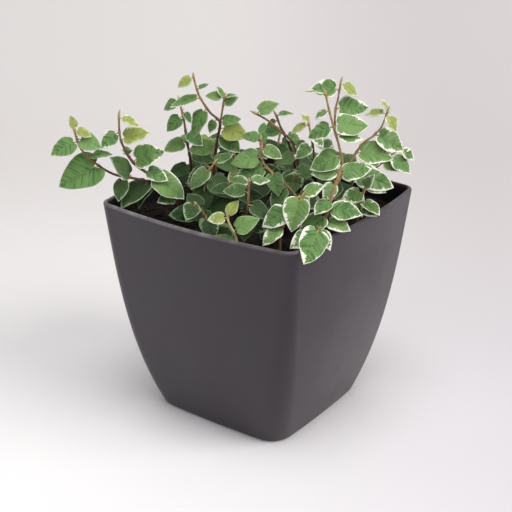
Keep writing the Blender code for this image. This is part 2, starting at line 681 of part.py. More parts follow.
def grow_plant():
    """Every stem as (name, grown shoots). The placed ones come first, so they keep their places."""
    room = Room()
    plant = []
    for name, shoots in PLACED_STEMS:
        grown = shoot_paths(shoots, CURVE_STEPS)
        for shape in grown:
            room.add(tube_shell(shape.path, shape.radii, 0.0), name + "_stem")
        plant.append((name, grown))
    for (name, shoots), (name, grown) in zip(PLACED_STEMS, plant):
        grow_leaves(shoots, grown, room, name, stem_draws(name), PLACED_LOOSE)
    roots = [grown[0].path[0] for name, grown in plant]
    for number, spot in enumerate(low_spots(random.Random(SEED), roots), 1):
        name = "stem_low_%02d" % number
        rng = stem_draws(name)
        for attempt in range(LOW_TRIES):
            shoots = low_shoot(spot, rng)
            grown = shoot_paths(shoots, LOW_STEPS)
            shell = tube_shell(grown[0].path, grown[0].radii, 2 * CLEARANCE)
            if all(clear_of_pot(p) for p in grown[0].path[2:]) and not room.taken(shell):
                room.add(tube_shell(grown[0].path, grown[0].radii, 0.0), name + "_stem")
                grow_leaves(shoots, grown, room, name, rng, LOW_LOOSE)
                plant.append((name, grown))
                break
    return plant


def make_tube(name, path, radii, sides, collection):
    """A tapered round tube as a curve, made a mesh with closed ends."""
    curve = bpy.data.curves.new(name, "CURVE")
    curve.dimensions = "3D"
    curve.bevel_depth = 1.0
    curve.bevel_resolution = (sides - 4) // 2
    curve.use_fill_caps = True
    spline = curve.splines.new("POLY")
    spline.points.add(len(path) - 1)
    for k, p in enumerate(path):
        spline.points[k].co = (p.x, p.y, p.z, 1.0)
        spline.points[k].radius = radii[k]
    guide = new_object(name + "_curve", curve, collection)
    bpy.context.view_layer.update()
    mesh = bpy.data.meshes.new_from_object(guide.evaluated_get(bpy.context.evaluated_depsgraph_get()))
    bpy.data.objects.remove(guide)
    bpy.data.curves.remove(curve)
    work = bmesh.new()
    work.from_mesh(mesh)
    bmesh.ops.remove_doubles(work, verts=work.verts, dist=0.00001)
    bmesh.ops.recalc_face_normals(work, faces=work.faces)
    work.to_mesh(mesh)
    work.free()
    return new_object(name, mesh, collection)


def keep_largest(mesh):
    """Drop loose scraps that the union may leave beside the main body."""
    work = bmesh.new()
    work.from_mesh(mesh)
    left = set(work.verts)
    islands = []
    while left:
        found = {left.pop()}
        front = list(found)
        while front:
            for edge in front.pop().link_edges:
                for vert in edge.verts:
                    if vert in left:
                        left.discard(vert)
                        found.add(vert)
                        front.append(vert)
        islands.append(found)
    islands.sort(key=len)
    for scrap in islands[:-1]:
        bmesh.ops.delete(work, geom=list(scrap), context="VERTS")
    work.to_mesh(mesh)
    work.free()


def make_stem(name, grown, collection, green):
    """One leafy stem: its shoots, leaf stalks and blades, joined in one body."""
    pieces = new_collection(name + "_pieces")
    main = make_tube(name, grown[0].path, grown[0].radii, 4, collection)
    for k, shape in enumerate(grown):
        if k > 0:
            make_tube("%s_twig_%d" % (name, k), shape.path, shape.radii, 4, pieces)
        for n, leaf in enumerate(shape.leaves):
            label = "%s_%d_%d" % (name, k, n)
            new_object(label, new_mesh(label, leaf_shell(leaf)), pieces)
    join = main.modifiers.new("join", "BOOLEAN")
    join.operation = "UNION"
    join.operand_type = "COLLECTION"
    join.collection = pieces
    bpy.context.view_layer.update()
    joined = bpy.data.meshes.new_from_object(main.evaluated_get(bpy.context.evaluated_depsgraph_get()))
    main.modifiers.clear()
    main.data = joined
    joined.name = name
    keep_largest(joined)
    joined.materials.clear()
    joined.materials.append(green)
    for piece in list(pieces.objects):
        bpy.data.objects.remove(piece)
    bpy.data.collections.remove(pieces)
    return main


def main():
    for body in list(bpy.data.objects):
        bpy.data.objects.remove(body)
    fig = new_collection("creeping_fig")
    cutters = new_collection("cutters")
    plant = grow_plant()
    make_pot(fig)
    make_soil(fig, cutters, plant)
    green = new_material("fig_leaf", (0.075, 0.190, 0.060), 0.45)
    for name, grown in plant:
        make_stem(name, grown, fig, green)


if __name__ == "__main__":
    main()
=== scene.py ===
"""The looks of a variegated creeping fig in a tapered square pot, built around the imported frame.

The stems and leaves are laid out by the same rules and draws as the frame's solids, in metres, so
each finer piece stands where its solid is. Headings and rises are in degrees: a heading is measured
from +X towards +Y, and a rise from level towards +Z.
"""
import functools
import math
import random
from collections import namedtuple

import bpy
from mathutils import Matrix, Vector, geometry, noise
from mathutils.bvhtree import BVHTree


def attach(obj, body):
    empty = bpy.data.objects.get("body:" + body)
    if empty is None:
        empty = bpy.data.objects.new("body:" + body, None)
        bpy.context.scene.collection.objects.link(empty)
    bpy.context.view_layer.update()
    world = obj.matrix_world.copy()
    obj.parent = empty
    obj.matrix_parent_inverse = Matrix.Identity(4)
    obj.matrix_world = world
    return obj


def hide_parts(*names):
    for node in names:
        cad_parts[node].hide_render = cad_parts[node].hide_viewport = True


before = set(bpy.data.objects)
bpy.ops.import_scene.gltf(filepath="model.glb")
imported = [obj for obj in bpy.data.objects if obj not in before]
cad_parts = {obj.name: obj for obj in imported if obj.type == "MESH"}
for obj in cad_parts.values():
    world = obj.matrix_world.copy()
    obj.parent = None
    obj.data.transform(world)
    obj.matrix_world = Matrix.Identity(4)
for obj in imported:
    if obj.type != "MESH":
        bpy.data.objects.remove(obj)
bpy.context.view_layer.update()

bl_info = {
    "name": "Potted Creeping Fig",
    "version": (1, 0, 0),
    "blender": (4, 5, 0),
    "location": "3D View > Sidebar > Creeping Fig",
    "description": "A variegated creeping fig in a satin plastic pot, with its stems, leaves and soil",
    "category": "Add Mesh",
}

# The pot's form beyond its main sizes. FLARE_STRAIGHT of its widening from foot to rim is even, and
# the rest comes mostly low down.
FLARE_STRAIGHT = 0.55
FLARE_POWER = 3.38
RIM_BOW = 0.0040
FOOT_BOW = 0.0008
RIM_CORNER = 0.0075
FOOT_CORNER = 0.0130
FLOOR = 0.0025
FOOT_EDGE = 0.0016
LIP_OUTER = 0.0013
LIP_INNER = 0.0005
SIDE_STEPS = 20
CORNER_STEPS = 10
WALL_STEPS = 36
FOOT_EDGE_STEPS = 6
LIP_OUTER_STEPS = 5
LIP_INNER_STEPS = 4
FOOT_PANEL = 0.0050
FOOT_PANEL_DEPTH = 0.0004

# Soil
SOIL_TOP = 0.1130
SOIL_CROWN = 0.0015
SOIL_LUMP = 0.0006
SOIL_GRAIN = 0.0011
SOIL_RINGS = 44
SOIL_WALL_STEPS = 8
LUMP_WAVES, CLOD_WAVES, GRAIN_WAVES = 90, 260, 900
LUMP_SHARE, CLOD_SHARE, GRAIN_SHARE = 0.8, 0.5, 0.35
CRUMB_REACH = 0.066
CRUMB_LEVEL_REACH = 0.063
CRUMB_SIZES = (0.45, 2.2)
CRUMB_SPREAD = 0.45
CRUMB_STRETCH = ((0.7, 1.3), (0.7, 1.3), (0.5, 0.9))
CRUMB_LUMP = 0.45
CRUMB_WAVES = 1.6
CRUMB_ROOM = 1.3
CRUMB_RISE = 0.25
HOLE_DEPTH = 0.0090
GAP = 0.0003

# Stems, as the frame has them
STEM_RADIUS = 0.00085
TIP_SHARE = 0.60
TWIG_RADIUS = 0.00065
STALK_HALF = 0.00045
STALK_SHARE = 0.10
STALK_EXTRA = 0.0012
STALK_LIFT = 20
CURVE_STEPS = 2
LOW_STEPS = 1

# Finer wood. Knots swell a stem at its stalks.
FINE_STEPS = 3
STEM_SIDES = 10
STALK_SIDES = 7
THIN_SIDES = 5
KNOT_SWELL = 0.35
KNOT_LENGTH = 0.0011
SEED_SPAN = 6

# Buds: their girths against the stem's tip, at places along them
BUD_LENGTH = 0.0038
LOW_BUD = 0.0022
BUD_LENGTHS = (0.70, 1.15)
BUD_POINTS = (-0.06, 0.12, 0.35, 0.60, 0.82, 1.00)
BUD_GIRTHS = (0.90, 1.15, 1.05, 0.75, 0.42, 0.06)
BUD_LEAN = 0.25

# Stalks: how they leave the stem, sag and meet the blade as shares of their reach, and their girth
STALK_POINTS = 9
STALK_PULL = (0.5, 0.4)
STALK_SAG = 0.10
STALK_INTO_BLADE = 0.03
STALK_UNDER_BLADE = 0.00015
STALK_SWELL = 1.05
STALK_SLIMMING = 0.45
STALK_SLIM_FROM = 6

# The pair of papery scales at the foot of a stalk: how they point, how far out they stand as a
# share of the stem's radius, and the place on a bud that has their tint
SCALE_LENGTH = 0.0019
SCALE_LENGTHS = (0.6, 1.1)
SCALE_RADIUS = 0.00030
SCALE_OUT, SCALE_ASIDE, SCALE_UP = 0.35, 0.55, 0.75
SCALE_FOOT = 0.75
SCALE_TINT = 0.6

# Hairs: how they lean along the stem, how much closer together they are towards its tip, and how
# far out their feet are as a share of its radius
HAIR_RADIUS = 0.00003
HAIR_LENGTHS = (0.6, 1.3)
HAIR_LEAN = (-0.2, 0.9)
HAIR_CROWDING = 1.6
HAIR_FOOT = 0.95

# Rootlets: how many, where on the stem, how they rise, swing, bend and drop, and the place on the
# stem that has their tint
ROOTLET_COUNT = (2, 4)
ROOTLET_PLACES = (0.28, 0.55)
ROOTLET_LENGTH = 0.0034
ROOTLET_LENGTHS = (0.5, 1.1)
ROOTLET_RADIUS = 0.00016
ROOTLET_TAPER = 0.12
ROOTLET_POINTS = 7
ROOTLET_RISES = (-35, 5)
ROOTLET_SWING = 40
ROOTLET_BEND = 0.7
ROOTLET_BEND_RISE = 10
ROOTLET_STRAIGHT = 0.6
ROOTLET_DROP = 0.4
ROOTLET_TINT = 0.35

# Leaf blades: the points of half an outline, as shares of the blade's length along and out
RIM_POINTS = ((-0.10, 0.19), (0.06, 0.40), (0.44, 0.40), (0.79, 0.21))
SMALL_RIM_POINTS = ((-0.06, 0.22), (0.22, 0.41), (0.66, 0.29))
SMALL_BLADE = 0.0152
BROAD_RIM_POINTS = ((-0.20, 0.20), (-0.04, 0.43), (0.36, 0.44), (0.76, 0.24))
BROAD_BLADE = 0.0195
MIDRIB_POINT = 0.42
BLADE_THICKNESS = 0.00065
WAVE = 0.030
WAVE_TURNS = 9.0
WAVE_SHIFT = 1.3
WAVE_REACH = 0.4
EDGE_NIBBLE = 0.05
NIBBLE_TURNS = 7
NIBBLE_SHIFT = 2
WIDTHS = (0.92, 1.08)
DROOPS = (0.04, 0.20)
FOLDS = (0.04, 0.24)

# Finer blades: their puckers, curled rims and ragged edges, as shares of the blade's length
PUCKER = 0.011
RIM_CURL = 0.018
CURL_BREADTH = 0.08
RAGGED = 0.020
PUCKER_WAVES = (7, 9, 5)
RAGGED_WAVES = (1.3, 40, 9)
RIM_STEPS = 12

# A point's distance to the edge, which the leaf's finish reads in millimetres, is less than straight
# across, because the edge runs at a slant. The rib under a blade counts as far from the edge.
EDGE_SLANT = 0.85
FAR_FROM_EDGE = 9.0
MILLIMETRES = 1000
RIB_RADIUS = 0.00024
RIB_TAPER = 0.8

# Room that a new leaf or stem keeps to what stands there already
CLEARANCE = 0.0005
POT_MARGIN = 0.0010
EDGE_SAMPLES = 4
SEED = 7

# One shoot: where it starts on the main shoot (None when it is rooted), its points and its leaves.
# A leaf is (place along the shoot, heading, rise, length, face), and may end with how far it is
# folded. The face is how far the blade is rolled to look to the left of its own direction.
Shoot = namedtuple("Shoot", "start points leaves")
Leaf = namedtuple("Leaf", "foot base axis normal length width fold droop phase")

LEFT_ARM = (
    Shoot(None, ((-0.036, -0.038, 0.113), (-0.037, -0.039, 0.125), (-0.041, -0.045, 0.136),
                 (-0.053, -0.058, 0.141), (-0.060, -0.066, 0.148), (-0.065, -0.072, 0.157),
                 (-0.067, -0.074, 0.167)), (
        (0.69, 238, -22, 0.0210, 50), (0.92, 250, -18, 0.0138, 45), (0.94, 30, -20, 0.0115, -50),
        (0.78, 50, 5, 0.0125, -15), (1.00, 215, 75, 0.0065, 40), (1.00, 35, -15, 0.0080, -40),
        (0.46, 243, 60, 0.0165, 65), (0.50, 285, -50, 0.0130, 15), (0.32, 240, -32, 0.0185, 15),
        (0.26, 252, -33, 0.0130, -10, 0.5))),
)
LEFT_UPRIGHT = (
    Shoot(None, ((-0.031, -0.034, 0.113), (-0.032, -0.035, 0.124), (-0.039, -0.042, 0.137),
                 (-0.047, -0.050, 0.146), (-0.050, -0.055, 0.156), (-0.050, -0.058, 0.164),
                 (-0.050, -0.058, 0.174)), (
        (0.99, 30, -24, 0.0100, -20), (0.81, 32, 18, 0.0140, -42), (0.61, 35, 20, 0.0155, -48),
        (0.66, 140, 20, 0.0080, 15), (0.50, 15, -15, 0.0120, -40), (0.42, 10, -30, 0.0185, -35),
        (0.88, 232, -38, 0.0110, 45), (0.30, 150, 0, 0.0130, 10), (0.17, 245, 5, 0.0115, 30))),
)
MID_TALL = (
    Shoot(None, ((-0.022, -0.014, 0.113), (-0.022, -0.015, 0.125), (-0.020, -0.016, 0.143),
                 (-0.016, -0.018, 0.159), (-0.012, -0.021, 0.169), (-0.016, -0.024, 0.174),
                 (-0.021, -0.027, 0.183), (-0.023, -0.029, 0.193)), (
        (1.00, 225, -32, 0.0080, 42), (0.86, 218, -12, 0.0145, 12), (0.92, 40, 25, 0.0050, -20),
        (0.79, 245, -58, 0.0150, 5), (0.66, 30, 16, 0.0095, -38), (0.62, 25, -14, 0.0135, -58),
        (0.57, 25, -38, 0.0130, -45), (0.70, 240, -60, 0.0070, 30), (0.48, 215, -12, 0.0135, 45),
        (0.40, 0, -20, 0.0135, -30), (0.30, 235, -20, 0.0140, 40), (0.45, 130, 10, 0.0120, 0))),
    Shoot(0.62, ((-0.011, -0.020, 0.176), (-0.010, -0.020, 0.182)), (
        (1.00, 215, 8, 0.0080, 35), (0.80, 35, 30, 0.0075, -50), (1.00, 215, 56, 0.0060, 30),
        (1.00, 35, 20, 0.0060, -10))),
)
MID_LEFT = (
    Shoot(None, ((-0.036, -0.015, 0.113), (-0.036, -0.016, 0.125), (-0.035, -0.018, 0.142),
                 (-0.034, -0.022, 0.155), (-0.034, -0.024, 0.166), (-0.036, -0.025, 0.177)), (
        (1.00, 220, -28, 0.0080, 40), (0.88, 235, -42, 0.0100, 55), (0.92, 20, -50, 0.0065, -30),
        (0.74, 10, -30, 0.0110, -40), (0.64, 230, -15, 0.0115, 35), (0.52, 35, -15, 0.0125, -40),
        (0.42, 245, -25, 0.0125, 25), (0.62, 140, 15, 0.0100, 0), (0.32, 330, -25, 0.0140, -10))),
)
CENTRE_THIN = (
    Shoot(None, ((0.019, 0.010, 0.113), (0.019, 0.010, 0.125), (0.018, 0.010, 0.142),
                 (0.015, 0.010, 0.154), (0.008, 0.008, 0.160), (0.001, 0.007, 0.165),
                 (-0.006, 0.004, 0.169)), (
        (1.00, 42, 24, 0.0115, -42), (0.62, 25, -25, 0.0090, -35), (0.50, 215, -15, 0.0105, 40),
        (0.38, 250, -25, 0.0115, 25), (0.55, 120, 25, 0.0085, 0), (0.28, 20, -25, 0.0130, -40))),
)
CENTRE_BACK = (
    Shoot(None, ((0.006, 0.029, 0.113), (0.006, 0.028, 0.125), (0.005, 0.023, 0.145),
                 (0.002, 0.016, 0.160), (0.001, 0.013, 0.167)), (
        (1.00, 38, 6, 0.0080, -8), (0.95, 215, -30, 0.0060, 30), (0.82, 215, -10, 0.0105, 30),
        (0.78, 20, -25, 0.0090, -30), (0.62, 235, -20, 0.0115, 35), (0.55, 120, 15, 0.0100, 0),
        (0.48, 25, -20, 0.0125, -40), (0.36, 170, 0, 0.0130, 0))),
)
CENTRE_RIGHT = (
    Shoot(None, ((0.030, 0.014, 0.113), (0.030, 0.014, 0.123), (0.027, 0.013, 0.144),
                 (0.024, 0.014, 0.156), (0.021, 0.015, 0.165)), (
        (1.00, 225, -22, 0.0090, 12), (1.00, 195, 50, 0.0060, 25), (0.90, 0, -35, 0.0080, -25),
        (0.78, 245, -25, 0.0100, 35), (0.66, 15, -20, 0.0115, -35), (0.52, 220, -15, 0.0125, 40),
        (0.42, 30, -20, 0.0140, -45), (0.60, 125, 20, 0.0100, 0))),
)
RIGHT_TALL = (
    Shoot(None, ((0.058, -0.028, 0.113), (0.058, -0.028, 0.124), (0.059, -0.024, 0.137),
                 (0.058, -0.016, 0.148), (0.057, -0.009, 0.156), (0.055, -0.009, 0.164),
                 (0.052, -0.009, 0.172), (0.049, -0.010, 0.182), (0.047, -0.011, 0.191)), (
        (1.00, 218, 8, 0.0100, -5), (0.90, 215, -35, 0.0070, 42), (0.80, 38, 0, 0.0155, -48),
        (0.80, 222, -24, 0.0120, 48), (0.75, 32, -10, 0.0120, -40), (0.62, 222, -22, 0.0150, 45),
        (0.52, 218, -12, 0.0140, 48), (0.50, 34, 12, 0.0145, -42), (0.45, 222, -20, 0.0120, 42),
        (0.24, 245, -35, 0.0175, 25), (0.28, 20, -5, 0.0150, -40), (0.20, 10, -8, 0.0120, -25),
        (0.33, 265, -15, 0.0110, 20))),
    Shoot(0.47, ((0.061, 0.001, 0.163), (0.065, 0.006, 0.168), (0.068, 0.010, 0.173),
                 (0.070, 0.012, 0.181)), (
        (0.72, 38, -28, 0.0160, -48), (0.44, 28, 1, 0.0175, -40), (0.97, 345, -50, 0.0090, -15),
        (1.00, 215, 55, 0.0060, 25), (0.97, 215, 0, 0.0090, 20))),
    Shoot(0.80, ((0.047, -0.001, 0.181), (0.047, 0.001, 0.186), (0.047, 0.003, 0.194)), (
        (0.48, 36, 4, 0.0150, -42), (0.86, 214, 0, 0.0130, 50), (1.00, 15, -35, 0.0090, -30))),
)
RIGHT_CORNER = (
    Shoot(None, ((0.040, 0.035, 0.113), (0.040, 0.036, 0.124), (0.045, 0.042, 0.135),
                 (0.051, 0.048, 0.143), (0.056, 0.054, 0.148)), (
        (1.00, 30, -32, 0.0090, -35), (0.86, 15, -36, 0.0140, -40), (0.70, 50, -10, 0.0135, -40),
        (0.75, 215, 8, 0.0120, 40), (0.50, 210, -5, 0.0130, 40), (0.55, 140, 0, 0.0125, 0),
        (0.85, 140, 15, 0.0110, 0), (0.40, 20, -20, 0.0120, -40))),
)
RIGHT_BACK = (
    Shoot(None, ((0.046, 0.016, 0.113), (0.046, 0.016, 0.124), (0.048, 0.016, 0.134),
                 (0.050, 0.017, 0.143)), (
        (0.95, 24, -14, 0.0190, -40), (1.00, 215, 0, 0.0120, 40), (0.75, 250, -25, 0.0130, 20),
        (0.80, 120, 10, 0.0120, 0), (0.60, 330, -30, 0.0140, -20))),
)
RIGHT_RIM = (
    Shoot(None, ((0.059, 0.006, 0.113), (0.059, 0.006, 0.122), (0.060, 0.006, 0.130),
                 (0.061, 0.008, 0.138)), (
        (0.55, 350, -22, 0.0120, -15), (0.72, 358, -34, 0.0140, -10, 0.4),
        (0.95, 245, -15, 0.0120, 30), (1.00, 35, 62, 0.0080, -40))),
)
RIM_HANGER = (
    Shoot(None, ((0.057, -0.037, 0.113), (0.057, -0.037, 0.122), (0.060, -0.039, 0.129),
                 (0.065, -0.042, 0.133)), (
        (1.00, 282, -38, 0.0180, 42), (0.70, 350, -30, 0.0110, -10, 0.6), (0.60, 250, -20, 0.0120, 30))),
)
NEAR_CORNER = (
    Shoot(None, ((0.042, -0.042, 0.113), (0.042, -0.042, 0.123), (0.044, -0.039, 0.134),
                 (0.049, -0.033, 0.144)), (
        (0.98, 275, -58, 0.0160, 15, 0.5), (0.72, 225, -28, 0.0145, 42), (0.45, 250, -30, 0.0120, 20),
        (1.00, 35, 25, 0.0100, -35))),
)
SPROUT = (
    Shoot(None, ((0.025, -0.056, 0.113), (0.025, -0.056, 0.120), (0.024, -0.056, 0.124),
                 (0.021, -0.057, 0.130), (0.020, -0.057, 0.133)), (
        (1.00, 70, 50, 0.0085, -20), (0.98, 222, -5, 0.0085, 55), (0.25, 222, 12, 0.0130, 10),
        (0.62, 38, 28, 0.0125, -50))),
)
FRONT_CENTRE = (
    Shoot(None, ((0.040, -0.018, 0.113), (0.040, -0.018, 0.123), (0.036, -0.017, 0.134),
                 (0.029, -0.019, 0.142), (0.018, -0.022, 0.151), (0.015, -0.021, 0.158),
                 (0.014, -0.020, 0.164)), (
        (0.74, 222, -18, 0.0150, 45), (0.84, 220, -10, 0.0140, 48), (0.70, 330, -45, 0.0120, -10),
        (0.92, 20, -20, 0.0100, -40), (1.00, 220, 10, 0.0085, 35), (0.52, 260, -35, 0.0140, 20),
        (0.95, 110, 40, 0.0070, 0), (0.40, 30, -20, 0.0140, -40))),
)
FRONT_LEFT = (
    Shoot(None, ((-0.014, -0.036, 0.113), (-0.014, -0.036, 0.122), (-0.011, -0.035, 0.134),
                 (-0.010, -0.034, 0.144), (-0.008, -0.031, 0.150)), (
        (0.90, 240, -40, 0.0130, 25), (0.62, 280, -50, 0.0150, 5), (0.75, 10, -30, 0.0140, -35),
        (0.80, 225, -15, 0.0130, 40), (0.45, 230, -30, 0.0140, 25), (0.98, 60, 20, 0.0100, -15),
        (0.20, 215, 0, 0.0150, 40))),
)
PLACED_STEMS = (
    ("stem_right_tall", RIGHT_TALL), ("stem_left_arm", LEFT_ARM), ("stem_left_upright", LEFT_UPRIGHT),
    ("stem_rim_hanger", RIM_HANGER), ("stem_sprout", SPROUT), ("stem_mid_tall", MID_TALL),
    ("stem_mid_left", MID_LEFT), ("stem_centre_thin", CENTRE_THIN), ("stem_centre_back", CENTRE_BACK),
    ("stem_centre_right", CENTRE_RIGHT), ("stem_front_centre", FRONT_CENTRE),
    ("stem_near_corner", NEAR_CORNER), ("stem_right_back", RIGHT_BACK),
    ("stem_right_corner", RIGHT_CORNER), ("stem_right_rim", RIGHT_RIM), ("stem_front_left", FRONT_LEFT),
)

# The low stems that fill the pot between the placed ones: spots on a jittered grid. Their leaves
# turn towards the light, which comes from one side of the plant.
SPOT_STEP = 0.0215
SPOT_REACH = 0.0520
SPOT_JITTER = 0.0045
BARE_LEFT = -0.062
BARE_RIGHT = 0.082
ROOT_SPACING = 0.0105
LOW_HEIGHT = (0.018, 0.038)
LOW_REACH = (0.005, 0.018)
LOW_LEAVES = 5
LOW_LENGTHS = (0.0140, 0.0100)
LOW_SPREAD = (0.88, 1.12)
LOW_FOOT = 0.006
LOW_BEND = (0.35, 0.55)
LOW_FIRST = 0.30
LOW_LEAN = 60
LOW_TURN = (35, 120)
LOW_TILT = (-20, 16)
LOW_ROLL = 15
LIGHT_HEADING = 305
LIGHT_RISE = 22
LIGHT_FACE = 32
LOW_TRIES = 12
LEAF_TRIES = 40

# How far a leaf may turn from its wished heading to find room, what share of that it may tilt, how
# steep it may get, and by what share it may shrink
PLACED_LOOSE = 35
LOW_LOOSE = 90
STEEPEST = (-70, 75)
TILT_SHARE = 0.8
SHRINK = 0.2

# The places of the young, yellow-green leaves on the placed shoots. The topmost leaf is half young on the
# low stems whose number ends in one of LOW_YOUNG. Leaves low inside the pot are darkened with painted shade,
# which deepens over a range of heights.
YOUNG_PLACES = {
    ("stem_left_upright", 0): (0.99, 0.81), ("stem_left_arm", 0): (1.00,),
    ("stem_sprout", 0): (0.98, 1.00),
    ("stem_right_tall", 1): (0.97, 1.00), ("stem_right_tall", 2): (1.00,),
    ("stem_mid_tall", 0): (1.00, 0.62), ("stem_centre_right", 0): (1.00,),
}
LOW_YOUNG = "29"
TOPMOST = 0.99
HALF_YOUNG = 0.5
SHADE_RANGE = 0.030

# How broad the cream margins of a stem's leaves are, against an ordinary one. The lowest leaves of a
# plain stem have a broad margin all the same. On the stems not listed, most leaves have a thin margin
# and BROAD_SHARE of them a broad one.
PLAIN, THIN, NARROW, BROAD = (0.0, 0.40), (0.0, 0.50), (0.35, 0.90), (0.65, 1.30)
MARGINS = {
    "stem_left_arm": PLAIN, "stem_mid_left": PLAIN, "stem_mid_tall": PLAIN, "stem_centre_thin": PLAIN,
    "stem_centre_back": PLAIN, "stem_front_left": PLAIN, "stem_right_tall": NARROW,
    "stem_left_upright": NARROW, "stem_rim_hanger": BROAD, "stem_right_rim": BROAD,
    "stem_near_corner": BROAD, "stem_right_back": BROAD, "stem_right_corner": BROAD, "stem_sprout": THIN,
}
PLAIN_FROM = 0.40
BROAD_SHARE = 0.30

# Stems that are tan from the foot up, as side shoots are, and the one with fresh, greener bark
TAN_STEMS = ("stem_right_tall", "stem_right_rim", "stem_right_back", "stem_front_centre", "stem_sprout",
             "stem_near_corner")
TAN_START = 0.76
FRESH_STEM = "stem_sprout"
FRESH_GREEN = (0.58, 0.55, 0.24)

# The side veins of a blade and the net between them
VEIN_SLANT = 0.62
VEIN_CURVE = 0.35
VEIN_COUNT = 5.6
VEIN_SHIFT = 0.22
NET_SCALE = 19.0

# Where a paler band is painted on the lip as a highlight: how far below its top, and where along the front;
# and how high on its foot the pot is rubbed
LIP_HIGHLIGHT = (0.0020, 0.0006)
HIGHLIGHT_ACROSS = (0.045, -0.010)
HIGHLIGHT_ALONG = (-0.045, -0.056)
FOOT_WORN = 0.0035

# The order of the finishes on a leafy stem
BARK, STALK, BUD, HAIR, LEAF_FACE, LEAF_BACK = range(6)

# The camera stands where the photograph was taken from and looks at VIEW_POINT
VIEW_POINT = (0.0600, -0.0884, 0.1325)
VIEW_DISTANCE = 0.50
FRAME_PIXELS = 512
FOCAL_PIXELS = 1085
SENSOR = 36.0

# The floor runs back from the camera, then bends up into the backdrop. The lights look at
# LIGHT_TARGET, a height above the middle of the floor.
SWEEP_FLAT = (-2.5, -1.0, 0.2)
SWEEP_BEND = 0.5
SWEEP_RADIUS = 0.6
SWEEP_STEP = 6
SWEEP_TOP = 3.0
SWEEP_SIDE = 3.0
LIGHT_TARGET = 0.10
ROOM_TINT = (0.98, 0.97, 1.0)
TOP_SHARE = 0.5


# The kinds of setting that a user can change

def colour_value(name, description, default):
    return bpy.props.FloatVectorProperty(name=name, description=description, default=default,
                                         subtype="COLOR", size=3, min=0.0, max=1.0)


def length_value(name, description, default, low=0.0):
    return bpy.props.FloatProperty(name=name, description=description, default=default, min=low,
                                   unit="LENGTH")


def angle_value(name, description, degrees):
    return bpy.props.FloatProperty(name=name, description=description, default=math.radians(degrees),
                                   subtype="ANGLE")


def power_value(name, description, default):
    return bpy.props.FloatProperty(name=name, description=description, default=default, min=0.0,
                                   unit="POWER")


def count_value(name, description, default, low, high):
    return bpy.props.IntProperty(name=name, description=description, default=default, min=low, max=high)


class PotSettings(bpy.types.PropertyGroup):
    """The pot's main sizes and its plastic."""
    height: length_value("Height", "Height of the pot", 0.1254, 0.05)
    rim_width: length_value("Rim Width", "Width across the middle of the rim", 0.1350, 0.05)
    foot_width: length_value("Foot Width", "Width across the middle of the foot", 0.0884, 0.03)
    wall: length_value("Wall", "Thickness of the wall", 0.0020, 0.001)
    colour: colour_value("Colour", "Colour of the plastic", (0.0165, 0.0100, 0.0170))
    # Painted highlight: this paler colour lies along the front of the lip as a highlight, and on the scuffed
    # foot as wear.
    highlight_and_wear_colour: colour_value("Worn Colour", "Paler colour of the rubbed lip", (0.290, 0.270, 0.275))
    roughness: bpy.props.FloatProperty(
        name="Roughness", description="Roughness of the satin surface", default=0.42, min=0.0, max=1.0,
        subtype="FACTOR")


class SoilSettings(bpy.types.PropertyGroup):
    """The potting soil and its loose crumbs."""
    colour: colour_value("Colour", "Colour of the damp soil", (0.007, 0.005, 0.004))
    dry_colour: colour_value("Dry Colour", "Colour of the crumbs that have dried", (0.034, 0.022, 0.015))
    crumbs: count_value("Crumbs", "Number of loose crumbs on the soil", 900, 0, 2000)
    crumb_size: length_value("Crumb Size", "Width of an ordinary crumb", 0.0016, 0.0005)


class LeafSettings(bpy.types.PropertyGroup):
    """The leaf blades and their colours."""
    thickness: length_value("Thickness", "Thickness of a blade", 0.00035, 0.0002)
    rows: count_value("Rows", "Rows of faces from a blade's stalk to its tip", 20, 10, 40)
    columns: count_value("Columns", "Faces from a blade's midrib to its edge", 6, 3, 12)
    margin: length_value("Cream Margin", "Breadth of an ordinary cream margin", 0.00062)
    # Painted shade: leaves inside the pot below this height are painted darker, with their margins and veins
    # muted.
    shade_below: length_value("Old Below", "Height under which the leaves are old and dark", 0.1450)
    green: colour_value("Green", "Green in the middle of a grown leaf", (0.126, 0.262, 0.068))
    # Deep green, at 0.4 of its strength, is also the painted shade of low leaves inside the pot.
    deep_green: colour_value("Deep Green", "Darker green of its flecks", (0.046, 0.115, 0.028))
    light_green: colour_value("Light Green", "Green of the lighter grown leaves", (0.232, 0.376, 0.118))
    grey_green: colour_value("Grey Green", "Pale patches between the green and the margin",
                             (0.310, 0.440, 0.220))
    cream: colour_value("Cream", "Colour of the margin", (0.880, 0.890, 0.740))
    young_green: colour_value("Young Green", "Yellow green of a young leaf", (0.345, 0.410, 0.095))
    back_green: colour_value("Back Green", "Dull green of the underside", (0.170, 0.270, 0.130))


class StemSettings(bpy.types.PropertyGroup):
    """The stems, stalks, buds and hairs."""
    bark: colour_value("Bark", "Red brown of the old stems", (0.080, 0.037, 0.020))
    young_bark: colour_value("Young Bark", "Tan of the young stems", (0.430, 0.275, 0.100))
    stalk: colour_value("Stalk", "Colour of the leaf stalks", (0.460, 0.330, 0.130))
    bud: colour_value("Bud", "Colour of the pointed buds", (0.450, 0.310, 0.150))
    hairs: count_value("Hairs", "Hairs on each shoot", 70, 0, 300)
    hair_length: length_value("Hair Length", "Length of a hair", 0.00045, 0.0001)


